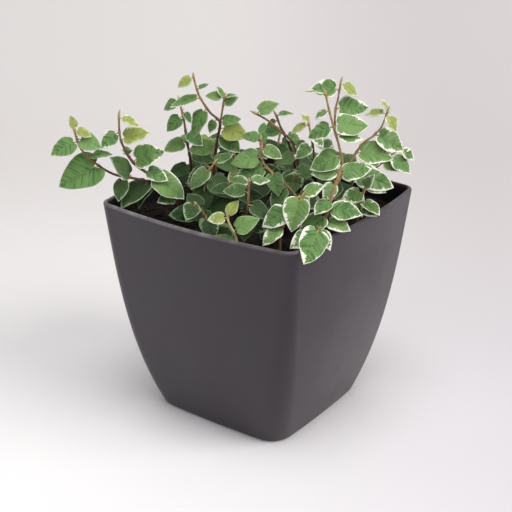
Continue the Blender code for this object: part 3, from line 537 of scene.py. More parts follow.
class StageSettings(bpy.types.PropertyGroup):
    """The floor, the backdrop, the lights and the camera."""
    floor: colour_value("Floor", "Colour of the floor on the left", (0.965, 0.950, 0.955))
    # Painted shade: the floor and the backdrop are darker on the right, and the floor darkens into the
    # warmer backdrop towards the back.
    floor_painted_shade: colour_value("Floor Shade", "Colour of the floor on the right", (0.690, 0.668, 0.705))
    wall: colour_value("Wall", "Colour of the backdrop on the left", (0.750, 0.728, 0.715))
    wall_painted_shade: colour_value("Wall Shade", "Colour of the backdrop on the right", (0.640, 0.608, 0.608))
    azimuth: angle_value("Azimuth", "Turn of the camera round the pot", 35.4)
    elevation: angle_value("Elevation", "Camera angle above the horizon", 22.6)
    roll: angle_value("Roll", "Tilt of the camera about its own axis", 0.44)
    key_power: power_value("Key Light", "Power of the large light on the right", 35.0)
    fill_power: power_value("Fill Light", "Power of the light in front", 12.0)
    sky: bpy.props.FloatProperty(
        name="Room Light", description="Strength of the even light of the room", default=0.30, min=0.0)


Pot = namedtuple("Pot", "height rim_half foot_half wall")


def pot_sizes():
    """The pot's sizes as plain numbers, to a hundredth of a millimetre."""
    settings = bpy.context.scene.fig_pot
    return Pot(round(settings.height, 5), round(settings.rim_width, 5) / 2,
               round(settings.foot_width, 5) / 2, round(settings.wall, 5))


def half_width(pot, z):
    """Half the pot's outer width across the middle of its sides, at height z."""
    t = between(pot, 0.0, 1.0, z)
    flare = FLARE_STRAIGHT * t + (1 - FLARE_STRAIGHT) * (1 - (1 - t) ** FLARE_POWER)
    return pot.foot_half + (pot.rim_half - pot.foot_half) * flare


def between(pot, foot, rim, z):
    """A value that runs evenly from the pot's foot to its rim."""
    return foot + (rim - foot) * min(max(z / pot.height, 0.0), 1.0)


def plan_shape(pot, z, inset):
    """The outline at height z, moved in by inset: half width, bow, corner radius, straight half."""
    bow = between(pot, FOOT_BOW, RIM_BOW, z)
    radius = between(pot, FOOT_CORNER, RIM_CORNER, z) - inset
    half = half_width(pot, z) - inset
    return half, bow, radius, half - bow - radius


def plan_ring(pot, z, inset):
    """The outline itself: four bowed sides and four round corners, counter-clockwise."""
    half, bow, radius, straight = plan_shape(pot, z, inset)
    quarter = []
    for k in range(SIDE_STEPS + 1):
        t = 2 * k / SIDE_STEPS - 1
        quarter.append((half - bow * t * t, t * straight))
    for k in range(1, CORNER_STEPS):
        angle = math.radians(90 * k / CORNER_STEPS)
        quarter.append((straight + radius * math.cos(angle), straight + radius * math.sin(angle)))
    ring = []
    for turn in range(4):
        c, s = round(math.cos(turn * math.pi / 2)), round(math.sin(turn * math.pi / 2))
        ring += [Vector((x * c - y * s, x * s + y * c, z)) for x, y in quarter]
    return ring


def outside_wall(pot, point):
    """How far a point lies outside the pot's outer face, in plan; negative inside it."""
    half, bow, radius, straight = plan_shape(pot, point.z, 0.0)
    x, y = abs(point.x), abs(point.y)
    bulge = bow * (1 - min(1.0, min(x, y) / straight) ** 2)
    dx, dy = x - straight, y - straight
    corner = math.hypot(max(dx, 0.0), max(dy, 0.0)) + min(max(dx, dy), 0.0)
    return corner - radius - bulge


def clear_of_pot(pot, point):
    """True where a leaf may be: above the lip, outside the pot, or inside it above the soil."""
    if point.z > pot.height + POT_MARGIN:
        return True
    outside = outside_wall(pot, point)
    if outside > POT_MARGIN:
        return True
    soil = SOIL_TOP + SOIL_CROWN + SOIL_LUMP + POT_MARGIN
    return outside < -pot.wall - POT_MARGIN and point.z > soil


def loft(rings):
    """A closed shell through rings that have the same number of points, flat at both ends."""
    count = len(rings[0])
    points = [p for ring in rings for p in ring]
    faces = [list(reversed(range(count)))]
    for r in range(len(rings) - 1):
        low, high = r * count, (r + 1) * count
        for k in range(count):
            after = (k + 1) % count
            faces.append([low + k, low + after, high + after, high + k])
    faces.append([(len(rings) - 1) * count + k for k in range(count)])
    return points, faces


def aim(heading, rise):
    """The unit vector of a heading and a rise."""
    level = math.cos(math.radians(rise))
    turn = math.radians(heading)
    return Vector((level * math.cos(turn), level * math.sin(turn), math.sin(math.radians(rise))))


def smooth(points, steps):
    """A rounder path through the points, with so many steps in each span (Catmull-Rom)."""
    ends = [points[0] * 2 - points[1]] + list(points) + [points[-1] * 2 - points[-2]]
    path = []
    for k in range(1, len(ends) - 2):
        a, b, c, d = ends[k - 1:k + 3]
        for step in range(steps):
            t = step / steps
            path.append(0.5 * (2 * b + (c - a) * t + (2 * a - 5 * b + 4 * c - d) * t ** 2
                               + (3 * b - 3 * c + d - a) * t ** 3))
    path.append(points[-1].copy())
    return path


def at_place(path, place):
    """The point at a share of the path's length."""
    spans = [(b - a).length for a, b in zip(path, path[1:])]
    left = place * sum(spans)
    for k, span in enumerate(spans):
        if left <= span:
            return path[k].lerp(path[k + 1], left / span)
        left -= span
    return path[-1].copy()


def shoot_radii(path, thick):
    """The radius at each point of a shoot, thinner towards its tip."""
    last = len(path) - 1
    return [thick * (1 + (TIP_SHARE - 1) * k / last) for k in range(last + 1)]


def runs_of(path):
    """The direction of a path at each of its points."""
    last = len(path) - 1
    return [(path[min(k + 1, last)] - path[max(k - 1, 0)]).normalized() for k in range(last + 1)]


def square_to(run):
    """Two directions square to a run and to each other."""
    side = run.orthogonal().normalized()
    return side, run.cross(side)


def tube_shell(path, radii, grow):
    """A square tube along a path, as points and faces, for testing room."""
    rings = []
    for p, run, radius in zip(path, runs_of(path), radii):
        side, other = square_to(run)
        r = radius + grow
        rings.append([p + side * r, p + other * r, p - side * r, p - other * r])
    return loft(rings)


def outline(leaf):
    """The blade's outline as (along, out) shares of its length, from its stalk round to its stalk."""
    half = RIM_POINTS
    if leaf.length < SMALL_BLADE:
        half = SMALL_RIM_POINTS
    elif leaf.length > BROAD_BLADE:
        half = BROAD_RIM_POINTS
    sides = []
    for side in (-1, 1):
        rim = [(0.0, side * STALK_HALF / leaf.length)]
        for along, out in half:
            turn = leaf.phase + NIBBLE_TURNS * along + NIBBLE_SHIFT * side
            nibble = 1 + EDGE_NIBBLE * math.sin(turn)
            rim.append((along, side * out * nibble))
        sides.append(rim)
    return sides[0] + [(1.0, 0.0)] + list(reversed(sides[1]))


def blade_point(leaf, along, out):
    """The middle of the blade's thickness at a place on it: folded, drooping and waved."""
    wide = out * leaf.width
    edge = (abs(out) / WAVE_REACH) ** 2
    turn = leaf.phase + math.copysign(WAVE_SHIFT, out) + WAVE_TURNS * along
    ripple = WAVE * edge * math.sin(turn)
    lift = leaf.fold * abs(wide) - leaf.droop * along * along + ripple
    side = leaf.normal.cross(leaf.axis)
    return leaf.base + leaf.length * (leaf.axis * along + side * wide + leaf.normal * lift)


def blade_shell(leaf, grow):
    """The blade as points and faces: the same triangles on both faces, joined round the rim."""
    ring = outline(leaf)
    count = len(ring)
    middle = Vector((MIDRIB_POINT, 0.0))
    flat = []
    for along, out in ring:
        away = Vector((along, out)) - middle
        flat.append(middle + away + away.normalized() * grow / leaf.length)
    flat.append(middle)
    half = (BLADE_THICKNESS / 2 + grow) * math.hypot(1.0, leaf.fold)
    centre = [blade_point(leaf, p.x, p.y) for p in flat]
    points = [p + leaf.normal * half for p in centre] + [p - leaf.normal * half for p in centre]
    low = len(flat)
    faces = []
    for k in range(count):
        after = (k + 1) % count
        faces.append([k, after, count])
        faces.append([low + count, low + after, low + k])
        faces.append([after, k, low + k, low + after])
    return points, faces


def stalk_shell(leaf, grow):
    """The stalk as points and faces, for testing room."""
    return tube_shell([leaf.foot, leaf.base], [STALK_HALF] * 2, grow)


def new_leaf(foot, heading, rise, length, face, fold, rng):
    """A leaf on its stalk. The draws give each one its own width, droop and wave."""
    axis = aim(heading, rise)
    side = aim(heading + 90, 0)
    roll = math.radians(face)
    normal = axis.cross(side) * math.cos(roll) + side * math.sin(roll)
    base = foot + aim(heading, rise + STALK_LIFT) * (STALK_SHARE * length + STALK_EXTRA)
    width = rng.uniform(*WIDTHS)
    droop = rng.uniform(*DROOPS)
    own_fold = rng.uniform(*FOLDS)
    phase = rng.uniform(0, 2 * math.pi)
    if fold is None:
        fold = own_fold
    return Leaf(foot, base, axis, normal, length, width, fold, droop, phase)


def box_of(points):
    """The low and high corners of the box round some points."""
    return [[pick(p[i] for p in points) for i in range(3)] for pick in (min, max)]


class Room:
    """Everything that stands in the pot so far."""

    def __init__(self, pot):
        self.pot = pot
        self.solids = []

    def add(self, shell, owner):
        self.solids.append((*box_of(shell[0]), BVHTree.FromPolygons(*shell), owner))

    def taken(self, shell, apart_from=None):
        """True when the shell cuts one that is there, leaving out those of one owner."""
        low, high = box_of(shell[0])
        tree = BVHTree.FromPolygons(*shell)
        for other_low, other_high, other, owner in self.solids:
            apart = any(low[i] > other_high[i] or high[i] < other_low[i] for i in range(3))
            if owner != apart_from and not apart and tree.overlap(other):
                return True
        return False


def leaf_fits(leaf, room, name):
    """True when blade and stalk stay clear of the pot, the soil, all leaves and the other stems."""
    blade = blade_shell(leaf, CLEARANCE)
    rim = blade[0][:len(blade[0]) // 2]
    for k in range(len(rim) - 1):
        start, end = rim[k], rim[(k + 1) % (len(rim) - 1)]
        for step in range(EDGE_SAMPLES):
            for towards in (end, rim[-1]):
                if not clear_of_pot(room.pot, start.lerp(towards, step / EDGE_SAMPLES)):
                    return False
    own_stem = name + "_stem"
    return not (room.taken(blade, own_stem) or room.taken(stalk_shell(leaf, CLEARANCE), own_stem))


def grow_leaf(foot, wish, room, name, rng, loose):
    """Try the wished leaf, then others turned and tilted a little more each time."""
    place, heading, rise, length, face = wish[:5]
    fold = wish[5] if len(wish) > 5 else None
    for attempt in range(LEAF_TRIES):
        spread = loose * attempt / LEAF_TRIES
        turned = heading + rng.uniform(-1, 1) * spread
        tilted = rise + rng.uniform(-TILT_SHARE, TILT_SHARE) * spread
        tilted = max(STEEPEST[0], min(STEEPEST[1], tilted))
        shrunk = length * (1 - SHRINK * attempt / LEAF_TRIES)
        leaf = new_leaf(foot, turned, tilted, shrunk, face, fold, rng)
        if leaf_fits(leaf, room, name):
            room.add(blade_shell(leaf, 0.0), name)
            room.add(stalk_shell(leaf, 0.0), name + "_stem")
            return leaf
    return None


Grown = namedtuple("Grown", "path radii leaves places")


def shoot_paths(shoots, steps):
    """The path and radii of each shoot; a side shoot starts inside the main one."""
    grown = []
    for shoot in shoots:
        points = [Vector(p) for p in shoot.points]
        if shoot.start is not None:
            points.insert(0, at_place(grown[0].path, shoot.start))
        path = smooth(points, steps)
        thick = TWIG_RADIUS
        if shoot.start is None:
            thick = STEM_RADIUS
            path.insert(0, Vector((path[0].x, path[0].y, SOIL_TOP - HOLE_DEPTH + GAP)))
        grown.append(Grown(path, shoot_radii(path, thick), [], []))
    return grown


def grow_leaves(shoots, grown, room, name, rng, loose):
    """Give each shoot those of its leaves that find room."""
    for shoot, shape in zip(shoots, grown):
        bare = shape.path[1:] if shoot.start is None else shape.path
        for wish in shoot.leaves:
            leaf = grow_leaf(at_place(bare, wish[0]), wish, room, name, rng, loose)
            if leaf is not None:
                shape.leaves.append(leaf)
                shape.places.append(wish[0])


def low_spots(rng, roots):
    """Places for the low stems: a jittered grid, without the two bare corners and the taken spots."""
    spots = []
    count = int(SPOT_REACH / SPOT_STEP)
    for i in range(-count, count + 1):
        for j in range(-count, count + 1):
            x, y = (k * SPOT_STEP + rng.uniform(-SPOT_JITTER, SPOT_JITTER) for k in (i, j))
            near = any(math.hypot(x - r.x, y - r.y) < ROOT_SPACING for r in roots)
            if BARE_LEFT < x + y < BARE_RIGHT and not near:
                spots.append((x, y))
    return spots


def low_shoot(spot, rng):
    """One low stem that leans outwards, with leaves in two ranks that get smaller to the tip."""
    x, y = spot
    away = math.degrees(math.atan2(y, x)) + rng.uniform(-LOW_LEAN, LOW_LEAN)
    reach = rng.uniform(*LOW_REACH)
    height = rng.uniform(*LOW_HEIGHT)
    points = [(x, y, SOIL_TOP), (x, y, SOIL_TOP + LOW_FOOT)]
    for out, up in (LOW_BEND, (1.0, 1.0)):
        lean = aim(away, 0) * reach * out
        points.append((x + lean.x, y + lean.y, SOIL_TOP + height * up))
    leaves = []
    for k in range(LOW_LEAVES):
        share = k / (LOW_LEAVES - 1)
        heading = away + (-1) ** k * rng.uniform(*LOW_TURN)
        towards = math.radians(heading - LIGHT_HEADING)
        rise = -LIGHT_RISE * math.cos(towards) + rng.uniform(*LOW_TILT)
        face = -LIGHT_FACE * math.sin(towards) + rng.uniform(-LOW_ROLL, LOW_ROLL)
        length = LOW_LENGTHS[0] + (LOW_LENGTHS[1] - LOW_LENGTHS[0]) * share
        place = LOW_FIRST + (1 - LOW_FIRST) * share
        leaves.append((place, heading, rise, length * rng.uniform(*LOW_SPREAD), face))
    return (Shoot(None, tuple(points), tuple(leaves)),)


def stem_draws(name):
    """Each stem has draws of its own, so a change to one doesn't reshuffle the others."""
    return random.Random("%s %d" % (name, SEED))


def grow_plant(pot):
    """Every stem as (name, grown shoots). The placed ones come first, so they keep their places."""
    room = Room(pot)
    plant = []
    for name, shoots in PLACED_STEMS:
        grown = shoot_paths(shoots, CURVE_STEPS)
        for shape in grown:
            room.add(tube_shell(shape.path, shape.radii, 0.0), name + "_stem")
        plant.append((name, grown))
    for (name, shoots), (_, grown) in zip(PLACED_STEMS, plant):
        grow_leaves(shoots, grown, room, name, stem_draws(name), PLACED_LOOSE)
    roots = [grown[0].path[0] for _, grown in plant]
    for number, spot in enumerate(low_spots(random.Random(SEED), roots), 1):
        name = "stem_low_%02d" % number
        rng = stem_draws(name)
        for attempt in range(LOW_TRIES):
            shoots = low_shoot(spot, rng)
            grown = shoot_paths(shoots, LOW_STEPS)
            shell = tube_shell(grown[0].path, grown[0].radii, 2 * CLEARANCE)
            if all(clear_of_pot(pot, p) for p in grown[0].path[2:]) and not room.taken(shell):
                room.add(tube_shell(grown[0].path, grown[0].radii, 0.0), name + "_stem")
                grow_leaves(shoots, grown, room, name, rng, LOW_LOOSE)
                plant.append((name, grown))
                break
    return plant


def new_object(name, data):
    """An object in the scene's own collection."""
    thing = bpy.data.objects.new(name, data)
    bpy.context.scene.collection.objects.link(thing)
    return thing


class Body:
    """Points and faces gathered for one piece, with what its finishes read at each point."""

    def __init__(self):
        self.points = []
        self.faces = []
        self.finishes = []
        self.place = []
        self.draw = []

    def add(self, shell, finish, place=None, draw=(0.0, 0.0, 0.0)):
        """Add a shell. Place and draw are read by the finish: one for each point, or one for all."""
        points, faces = shell
        start = len(self.points)
        self.points += points
        self.faces += [[start + k for k in face] for face in faces]
        self.finishes += finish if isinstance(finish, list) else [finish] * len(faces)
        self.place += place if place else [(0.0, 0.0, 0.0)] * len(points)
        self.draw += [draw] * len(points)

    def add_tube(self, path, radii, sides, finish, places=None, draw=(0.0, 0.0, 0.0)):
        """Add a round tube. Its places are given one for each point of the path."""
        if places:
            places = [place for place in places for _ in range(sides)]
        self.add(round_tube(path, radii, sides), finish, places, draw)

    def piece(self, name, materials, slot, *nodes, sharp=50):
        """Make the piece, which rides on the plant's one body and stands for the frame's nodes."""
        mesh = bpy.data.meshes.new(name)
        mesh.from_pydata([tuple(p) for p in self.points], [], self.faces)
        for material in materials:
            mesh.materials.append(material)
        mesh.polygons.foreach_set("material_index", self.finishes)
        for label, values in (("place", self.place), ("draw", self.draw)):
            reading = mesh.attributes.new(label, "FLOAT_VECTOR", "POINT")
            reading.data.foreach_set("vector", [number for value in values for number in value])
        mesh.shade_smooth()
        mesh.set_sharp_from_angle(angle=math.radians(sharp))
        mesh.update()
        body = new_object(name, mesh)
        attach(body, "root")
        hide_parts(*nodes)


def arc_levels(radius, start, end, steps):
    """Points of a rounded edge as (inset, drop) pairs, both measured from the sharp corner."""
    pairs = []
    for k in range(steps + 1):
        angle = math.radians(start + (end - start) * k / steps)
        pairs.append((radius * (1 - math.cos(angle)), radius * (1 - math.sin(angle))))
    return pairs


def pot_rings(pot):
    """The pot's shell, from the shallow panel under its foot up the outside, over the lip and inside."""
    panel = FOOT_PANEL + FOOT_PANEL_DEPTH
    levels = [(FOOT_PANEL_DEPTH, panel), (0.0, FOOT_PANEL)]
    levels += [(drop, inset) for inset, drop in arc_levels(FOOT_EDGE, 90, 0, FOOT_EDGE_STEPS)]
    low, high = FOOT_EDGE, pot.height - LIP_OUTER
    levels += [(low + (high - low) * k / WALL_STEPS, 0.0) for k in range(1, WALL_STEPS)]
    lip = arc_levels(LIP_OUTER, 0, 90, LIP_OUTER_STEPS)
    levels += [(pot.height - drop, inset) for inset, drop in lip]
    lip = reversed(arc_levels(LIP_INNER, 0, 90, LIP_INNER_STEPS))
    levels += [(pot.height - drop, pot.wall - inset) for inset, drop in lip]
    low = FLOOR + FOOT_EDGE
    levels += [(high + (low - high) * k / WALL_STEPS, pot.wall) for k in range(1, WALL_STEPS + 1)]
    levels += [(FLOOR, pot.wall + FOOT_EDGE)]
    return [plan_ring(pot, z, inset) for z, inset in levels]


def soil_height(x, y, share):
    """The height of the crumbled soil at a place, share of the way from its middle to its edge."""
    def rough(waves, layer):
        """One layer of unevenness, with so many waves in a metre."""
        return noise.noise(Vector((x * waves, y * waves, layer)))

    lumps = rough(LUMP_WAVES, 3.0) + CLOD_SHARE * rough(CLOD_WAVES, 9.0)
    grains = rough(GRAIN_WAVES, 1.0)
    level = SOIL_TOP + SOIL_CROWN * (1 - share)
    return level + SOIL_GRAIN * LUMP_SHARE * lumps + SOIL_GRAIN * GRAIN_SHARE * grains


def soil_rings(pot):
    """The soil from the pot's floor up along the wall, then in over its crumbled top."""
    inset = pot.wall + GAP
    levels = [(FLOOR + GAP, inset + FOOT_EDGE), (FLOOR + FOOT_EDGE + GAP, inset)]
    levels += [(SOIL_TOP * k / SOIL_WALL_STEPS, inset) for k in range(1, SOIL_WALL_STEPS)]
    rings = [plan_ring(pot, z, gap) for z, gap in levels]
    edge = plan_ring(pot, SOIL_TOP, inset)
    for k in range(SOIL_RINGS):
        share = 1 - k / SOIL_RINGS
        spots = [(p.x * share, p.y * share) for p in edge]
        rings.append([Vector((x, y, soil_height(x, y, share))) for x, y in spots])
    return rings


def ball(radius, rng):
    """A lumpy crumb round the origin: a twenty-sided solid with each side cut in four."""
    far = (1 + math.sqrt(5)) / 2
    corners = [Vector(p).normalized() for p in (
        (-1, far, 0), (1, far, 0), (-1, -far, 0), (1, -far, 0), (0, -1, far), (0, 1, far),
        (0, -1, -far), (0, 1, -far), (far, 0, -1), (far, 0, 1), (-far, 0, -1), (-far, 0, 1))]
    sides = [(0, 11, 5), (0, 5, 1), (0, 1, 7), (0, 7, 10), (0, 10, 11), (1, 5, 9), (5, 11, 4), (11, 10, 2),
             (10, 7, 6), (7, 1, 8), (3, 9, 4), (3, 4, 2), (3, 2, 6), (3, 6, 8), (3, 8, 9), (4, 9, 5),
             (2, 4, 11), (6, 2, 10), (8, 6, 7), (9, 8, 1)]
    middles = {}
    faces = []
    for a, b, c in sides:
        halves = []
        for start, end in ((a, b), (b, c), (c, a)):
            key = (min(start, end), max(start, end))
            if key not in middles:
                middles[key] = len(corners)
                corners.append((corners[start] + corners[end]).normalized())
            halves.append(middles[key])
        ab, bc, ca = halves
        faces += [(a, ab, ca), (b, bc, ab), (c, ca, bc), (ab, bc, ca)]
    shift = Vector([rng.uniform(0, 50) for _ in range(3)])
    stretch = Vector([rng.uniform(*limits) for limits in CRUMB_STRETCH])
    points = []
    for p in corners:
        bump = 1 + CRUMB_LUMP * noise.noise(p * CRUMB_WAVES + shift)
        points.append(p * stretch * radius * bump)
    return points, faces


def circle(centre, side, other, radius, count):
    """Points round a centre, in the plane of two directions."""
    turns = [2 * math.pi * k / count for k in range(count)]
    return [centre + (side * math.cos(t) + other * math.sin(t)) * radius for t in turns]


def round_tube(path, radii, sides):
    """A round tube along a path, closed at both ends, as points and faces."""
    runs = runs_of(path)
    side = runs[0].orthogonal().normalized()
    rings = []
    for p, radius, run in zip(path, radii, runs):
        side = (side - run * side.dot(run)).normalized()
        rings.append(circle(p, side, run.cross(side), radius, sides))
    return loft(rings)


def spike(foot, direction, length, radius):
    """A fine three-sided point, such as a hair or a scale."""
    points = circle(foot, *square_to(direction), radius, 3) + [foot + direction * length]
    return points, [(2, 1, 0), (0, 1, 3), (1, 2, 3), (2, 0, 3)]


def half_outlines(leaf, rows):
    """The smooth right and left halves of the blade's outline, each from the stalk to the tip."""
    ring = [Vector((along, out, 0.0)) for along, out in outline(leaf)]
    tip = len(ring) // 2
    halves = []
    for corners in (ring[:tip + 1], list(reversed(ring[tip:]))):
        dense = smooth(corners, RIM_STEPS)
        halves.append([at_place(dense, k / rows) for k in range(rows + 1)])
    return halves


def half_faces(midrib, grid):
    """The faces of half a blade: a fan at the stalk, the rows between, and a fan at the tip."""
    columns = range(len(grid[0]) - 1)
    faces = [(midrib[0], grid[0][c], grid[0][c + 1]) for c in columns]
    for low, high in zip(grid, grid[1:]):
        faces += [(low[c], high[c], high[c + 1], low[c + 1]) for c in columns]
    return faces + [(grid[-1][c], midrib[-1], grid[-1][c + 1]) for c in columns]


def thicken(centres, faces, rims, offset):
    """Both faces of a sheet, joined along its rims, and the finish of each face."""
    count = len(centres)
    points = [p + offset for p in centres] + [p - offset for p in centres]
    finishes = [LEAF_FACE] * len(faces) + [LEAF_BACK] * len(faces)
    faces = faces + [tuple(count + k for k in reversed(face)) for face in faces]
    for rim in rims:
        for a, b in zip(rim, rim[1:]):
            faces.append((b, a, count + a, count + b))
            finishes.append(LEAF_FACE)
    return (points, faces), finishes


def uneven(waves, *place):
    """Noise at a place, with so many waves in each of its three directions."""
    return noise.noise(Vector([count * value for count, value in zip(waves, place)]))


def leaf_sheet(leaf, settings):
    """Both faces of a blade with its rim, and where each point lies on the blade."""
    rows, columns = settings.rows, settings.columns
    centres, places = [], []

    def lay(along, out, edge):
        """Add a point of the sheet and note where on the blade it lies."""
        pucker = PUCKER * uneven(PUCKER_WAVES, along, out, leaf.phase)
        curl = -RIM_CURL * max(0.0, 1 - edge / CURL_BREADTH) ** 2
        lift = leaf.normal * leaf.length * (pucker + curl)
        centres.append(blade_point(leaf, along, out) + lift)
        places.append((along, out, edge * leaf.length * MILLIMETRES))
        return len(centres) - 1

    midrib = [lay((k / rows) ** 2 if k < rows else 1.0, 0.0, 0.0) for k in range(rows + 1)]
    faces, rims = [], []
    for half in half_outlines(leaf, rows):
        grid = []
        for k in range(1, rows):
            along = (k / rows) ** 2
            ragged = 1 + RAGGED * uneven(RAGGED_WAVES, k, half[k].y, leaf.phase)
            edge = Vector((half[k].x, half[k].y * ragged, 0.0))
            span = EDGE_SLANT * (edge - Vector((along, 0.0, 0.0))).length
            places[midrib[k]] = (along, 0.0, span * leaf.length * MILLIMETRES)
            row = [midrib[k]]
            for c in range(1, columns + 1):
                share = c / columns
                out = edge.y * share
                row.append(lay(along + (edge.x - along) * share, out, span * (1 - share)))
            grid.append(row)
        left = half[rows // 2].y > 0
        faces += [face if left else tuple(reversed(face)) for face in half_faces(midrib, grid)]
        rim = [midrib[0]] + [row[-1] for row in grid] + [midrib[rows]]
        rims.append(list(reversed(rim)) if left else rim)
    shell, finishes = thicken(centres, faces, rims, leaf.normal * settings.thickness / 2)
    return shell, finishes, places + places


def youth_and_shade_of(name, number, place, leaf):
    """Up to 1 for a young leaf at a shoot's tip, 0 for a grown one, down to -1 for a low leaf inside the pot
    that is darkened with painted shade.
    """
    if place in YOUNG_PLACES.get((name, number), ()):
        return 1.0
    if name.startswith("stem_low") and place > TOPMOST and name[-1] in LOW_YOUNG:
        return HALF_YOUNG
    # Painted shade: low leaves of plain-margined stems inside the pot get darker the lower they stand.
    pot = pot_sizes()
    bright = MARGINS.get(name, PLAIN) is not PLAIN
    if bright or outside_wall(pot, Vector((*leaf.base.xy, pot.height))) > 0:
        return 0.0
    shade_depth = (bpy.context.scene.fig_leaf.shade_below - leaf.base.z) / SHADE_RANGE
    return -min(1.0, max(0.0, 0.5 + shade_depth))


def paleness_of(name, place, rng):
    """How broad a leaf's cream margin is, against an ordinary one."""
    breadth = MARGINS.get(name) or (BROAD if rng.random() < BROAD_SHARE else THIN)
    if breadth is PLAIN and place < PLAIN_FROM:
        breadth = BROAD
    return rng.uniform(*breadth)


def add_leaves(body, name, grown, rng):
    """Every blade of a stem, with the raised midrib on its underside."""
    settings = bpy.context.scene.fig_leaf
    for number, shape in enumerate(grown):
        for leaf, place in zip(shape.leaves, shape.places):
            youth_and_shade = youth_and_shade_of(name, number, place, leaf)
            draw = (leaf.phase, youth_and_shade, paleness_of(name, place, rng))
            shell, finishes, places = leaf_sheet(leaf, settings)
            body.add(shell, finishes, places, draw)
            below = len(places) // 2
            rib = [shell[0][below + k] for k in range(0, settings.rows - 1, 2)]
            radii = [RIB_RADIUS * (1 - RIB_TAPER * k / len(rib)) for k in range(len(rib))]
            along = [(places[2 * k][0], 0.0, FAR_FROM_EDGE) for k in range(len(rib))]
            body.add_tube(rib, radii, THIN_SIDES, LEAF_BACK, along, draw)


def own_seed(rng):
    """A number that sets a shoot, a bud or a rootlet apart from the others."""
    return rng.random() * SEED_SPAN


def add_wood(body, name, grown, rng):
    """The shoots, the leaf stalks with their scales, the buds, hairs and rootlets of a stem."""
    settings = bpy.context.scene.fig_stem
    for number, shape in enumerate(grown):
        path = smooth(shape.path, FINE_STEPS)
        coarse = shape.radii
        radii = []
        for k in range(len(path)):
            at = k / FINE_STEPS
            low = min(int(at), len(coarse) - 2)
            plain = coarse[low] + (coarse[low + 1] - coarse[low]) * (at - low)
            away = min([(path[k] - leaf.foot).length for leaf in shape.leaves] or [1.0])
            knot = math.exp(-(away / KNOT_LENGTH) ** 2)
            radii.append(plain * (1 + KNOT_SWELL * knot))
        last = len(path) - 1
        start = TAN_START if number or name in TAN_STEMS else 0.0
        places = [(start + (1 - start) * k / last, 0.0, 0.0) for k in range(last + 1)]
        draw = (own_seed(rng), float(name == FRESH_STEM), 0.0)
        body.add_tube(path, radii, STEM_SIDES, BARK, places, draw)
        add_bud(body, path, radii[-1], LOW_BUD if name.startswith("stem_low") else BUD_LENGTH, rng)
        for leaf, place in zip(shape.leaves, shape.places):
            add_stalk(body, leaf, youth_and_shade_of(name, number, place, leaf), rng)
        add_hairs(body, path, radii, settings, rng)
    add_rootlets(body, grown[0].path, rng)


def add_bud(body, path, radius, long, rng):
    """The slender pointed bud that ends a shoot."""
    run = (path[-1] - path[-2]).normalized()
    side, other = square_to(run)
    lean = side * rng.uniform(-BUD_LEAN, BUD_LEAN) + other * rng.uniform(-BUD_LEAN, BUD_LEAN)
    length = long * rng.uniform(*BUD_LENGTHS)
    line = [path[-1] + (run + lean * t) * length * t for t in BUD_POINTS]
    places = [(k / (len(line) - 1), 0.0, 0.0) for k in range(len(line))]
    girths = [radius * girth for girth in BUD_GIRTHS]
    body.add_tube(line, girths, STALK_SIDES, BUD, places, (own_seed(rng), 0.0, 0.0))


def add_stalk(body, leaf, youth_and_shade, rng):
    """The curved stalk from the stem to the blade, with a papery scale on each side of its foot."""
    reach = (leaf.base - leaf.foot).length
    out = (leaf.base - leaf.foot).normalized()
    start = leaf.foot + out * reach * STALK_PULL[0] + Vector((0, 0, -STALK_SAG * reach))
    end = leaf.base - leaf.axis * STALK_PULL[1] * reach
    tip = leaf.base + leaf.axis * STALK_INTO_BLADE * leaf.length - leaf.normal * STALK_UNDER_BLADE
    path = geometry.interpolate_bezier(leaf.foot, start, end, tip, STALK_POINTS)
    slim = [math.sin(math.pi * min(1.0, k / STALK_SLIM_FROM) / 2) for k in range(STALK_POINTS)]
    radii = [STALK_HALF * (STALK_SWELL - STALK_SLIMMING * share) for share in slim]
    body.add_tube(path, radii, STALK_SIDES, STALK, draw=(leaf.phase, youth_and_shade, 0.0))
    side = leaf.normal.cross(out).normalized()
    for turn in (-1, 1):
        direction = out * SCALE_OUT + side * turn * SCALE_ASIDE + Vector((0, 0, SCALE_UP))
        foot = leaf.foot + side * turn * STEM_RADIUS * SCALE_FOOT
        length = SCALE_LENGTH * rng.uniform(*SCALE_LENGTHS)
        scale = spike(foot, direction.normalized(), length, SCALE_RADIUS)
        body.add(scale, BUD, [(SCALE_TINT, 0.0, 0.0)] * len(scale[0]))


def add_hairs(body, path, radii, settings, rng):
    """Short hairs, closer together towards the tip."""
    last = len(path) - 2
    for _ in range(settings.hairs):
        k = last - int(last * rng.random() ** HAIR_CROWDING)
        t = rng.random()
        run = (path[k + 1] - path[k]).normalized()
        side, other = square_to(run)
        turn = rng.uniform(0, 2 * math.pi)
        out = side * math.cos(turn) + other * math.sin(turn)
        foot = path[k].lerp(path[k + 1], t) + out * radii[k] * HAIR_FOOT
        direction = (out + run * rng.uniform(*HAIR_LEAN)).normalized()
        length = settings.hair_length * rng.uniform(*HAIR_LENGTHS)
        body.add(spike(foot, direction, length, HAIR_RADIUS), HAIR)


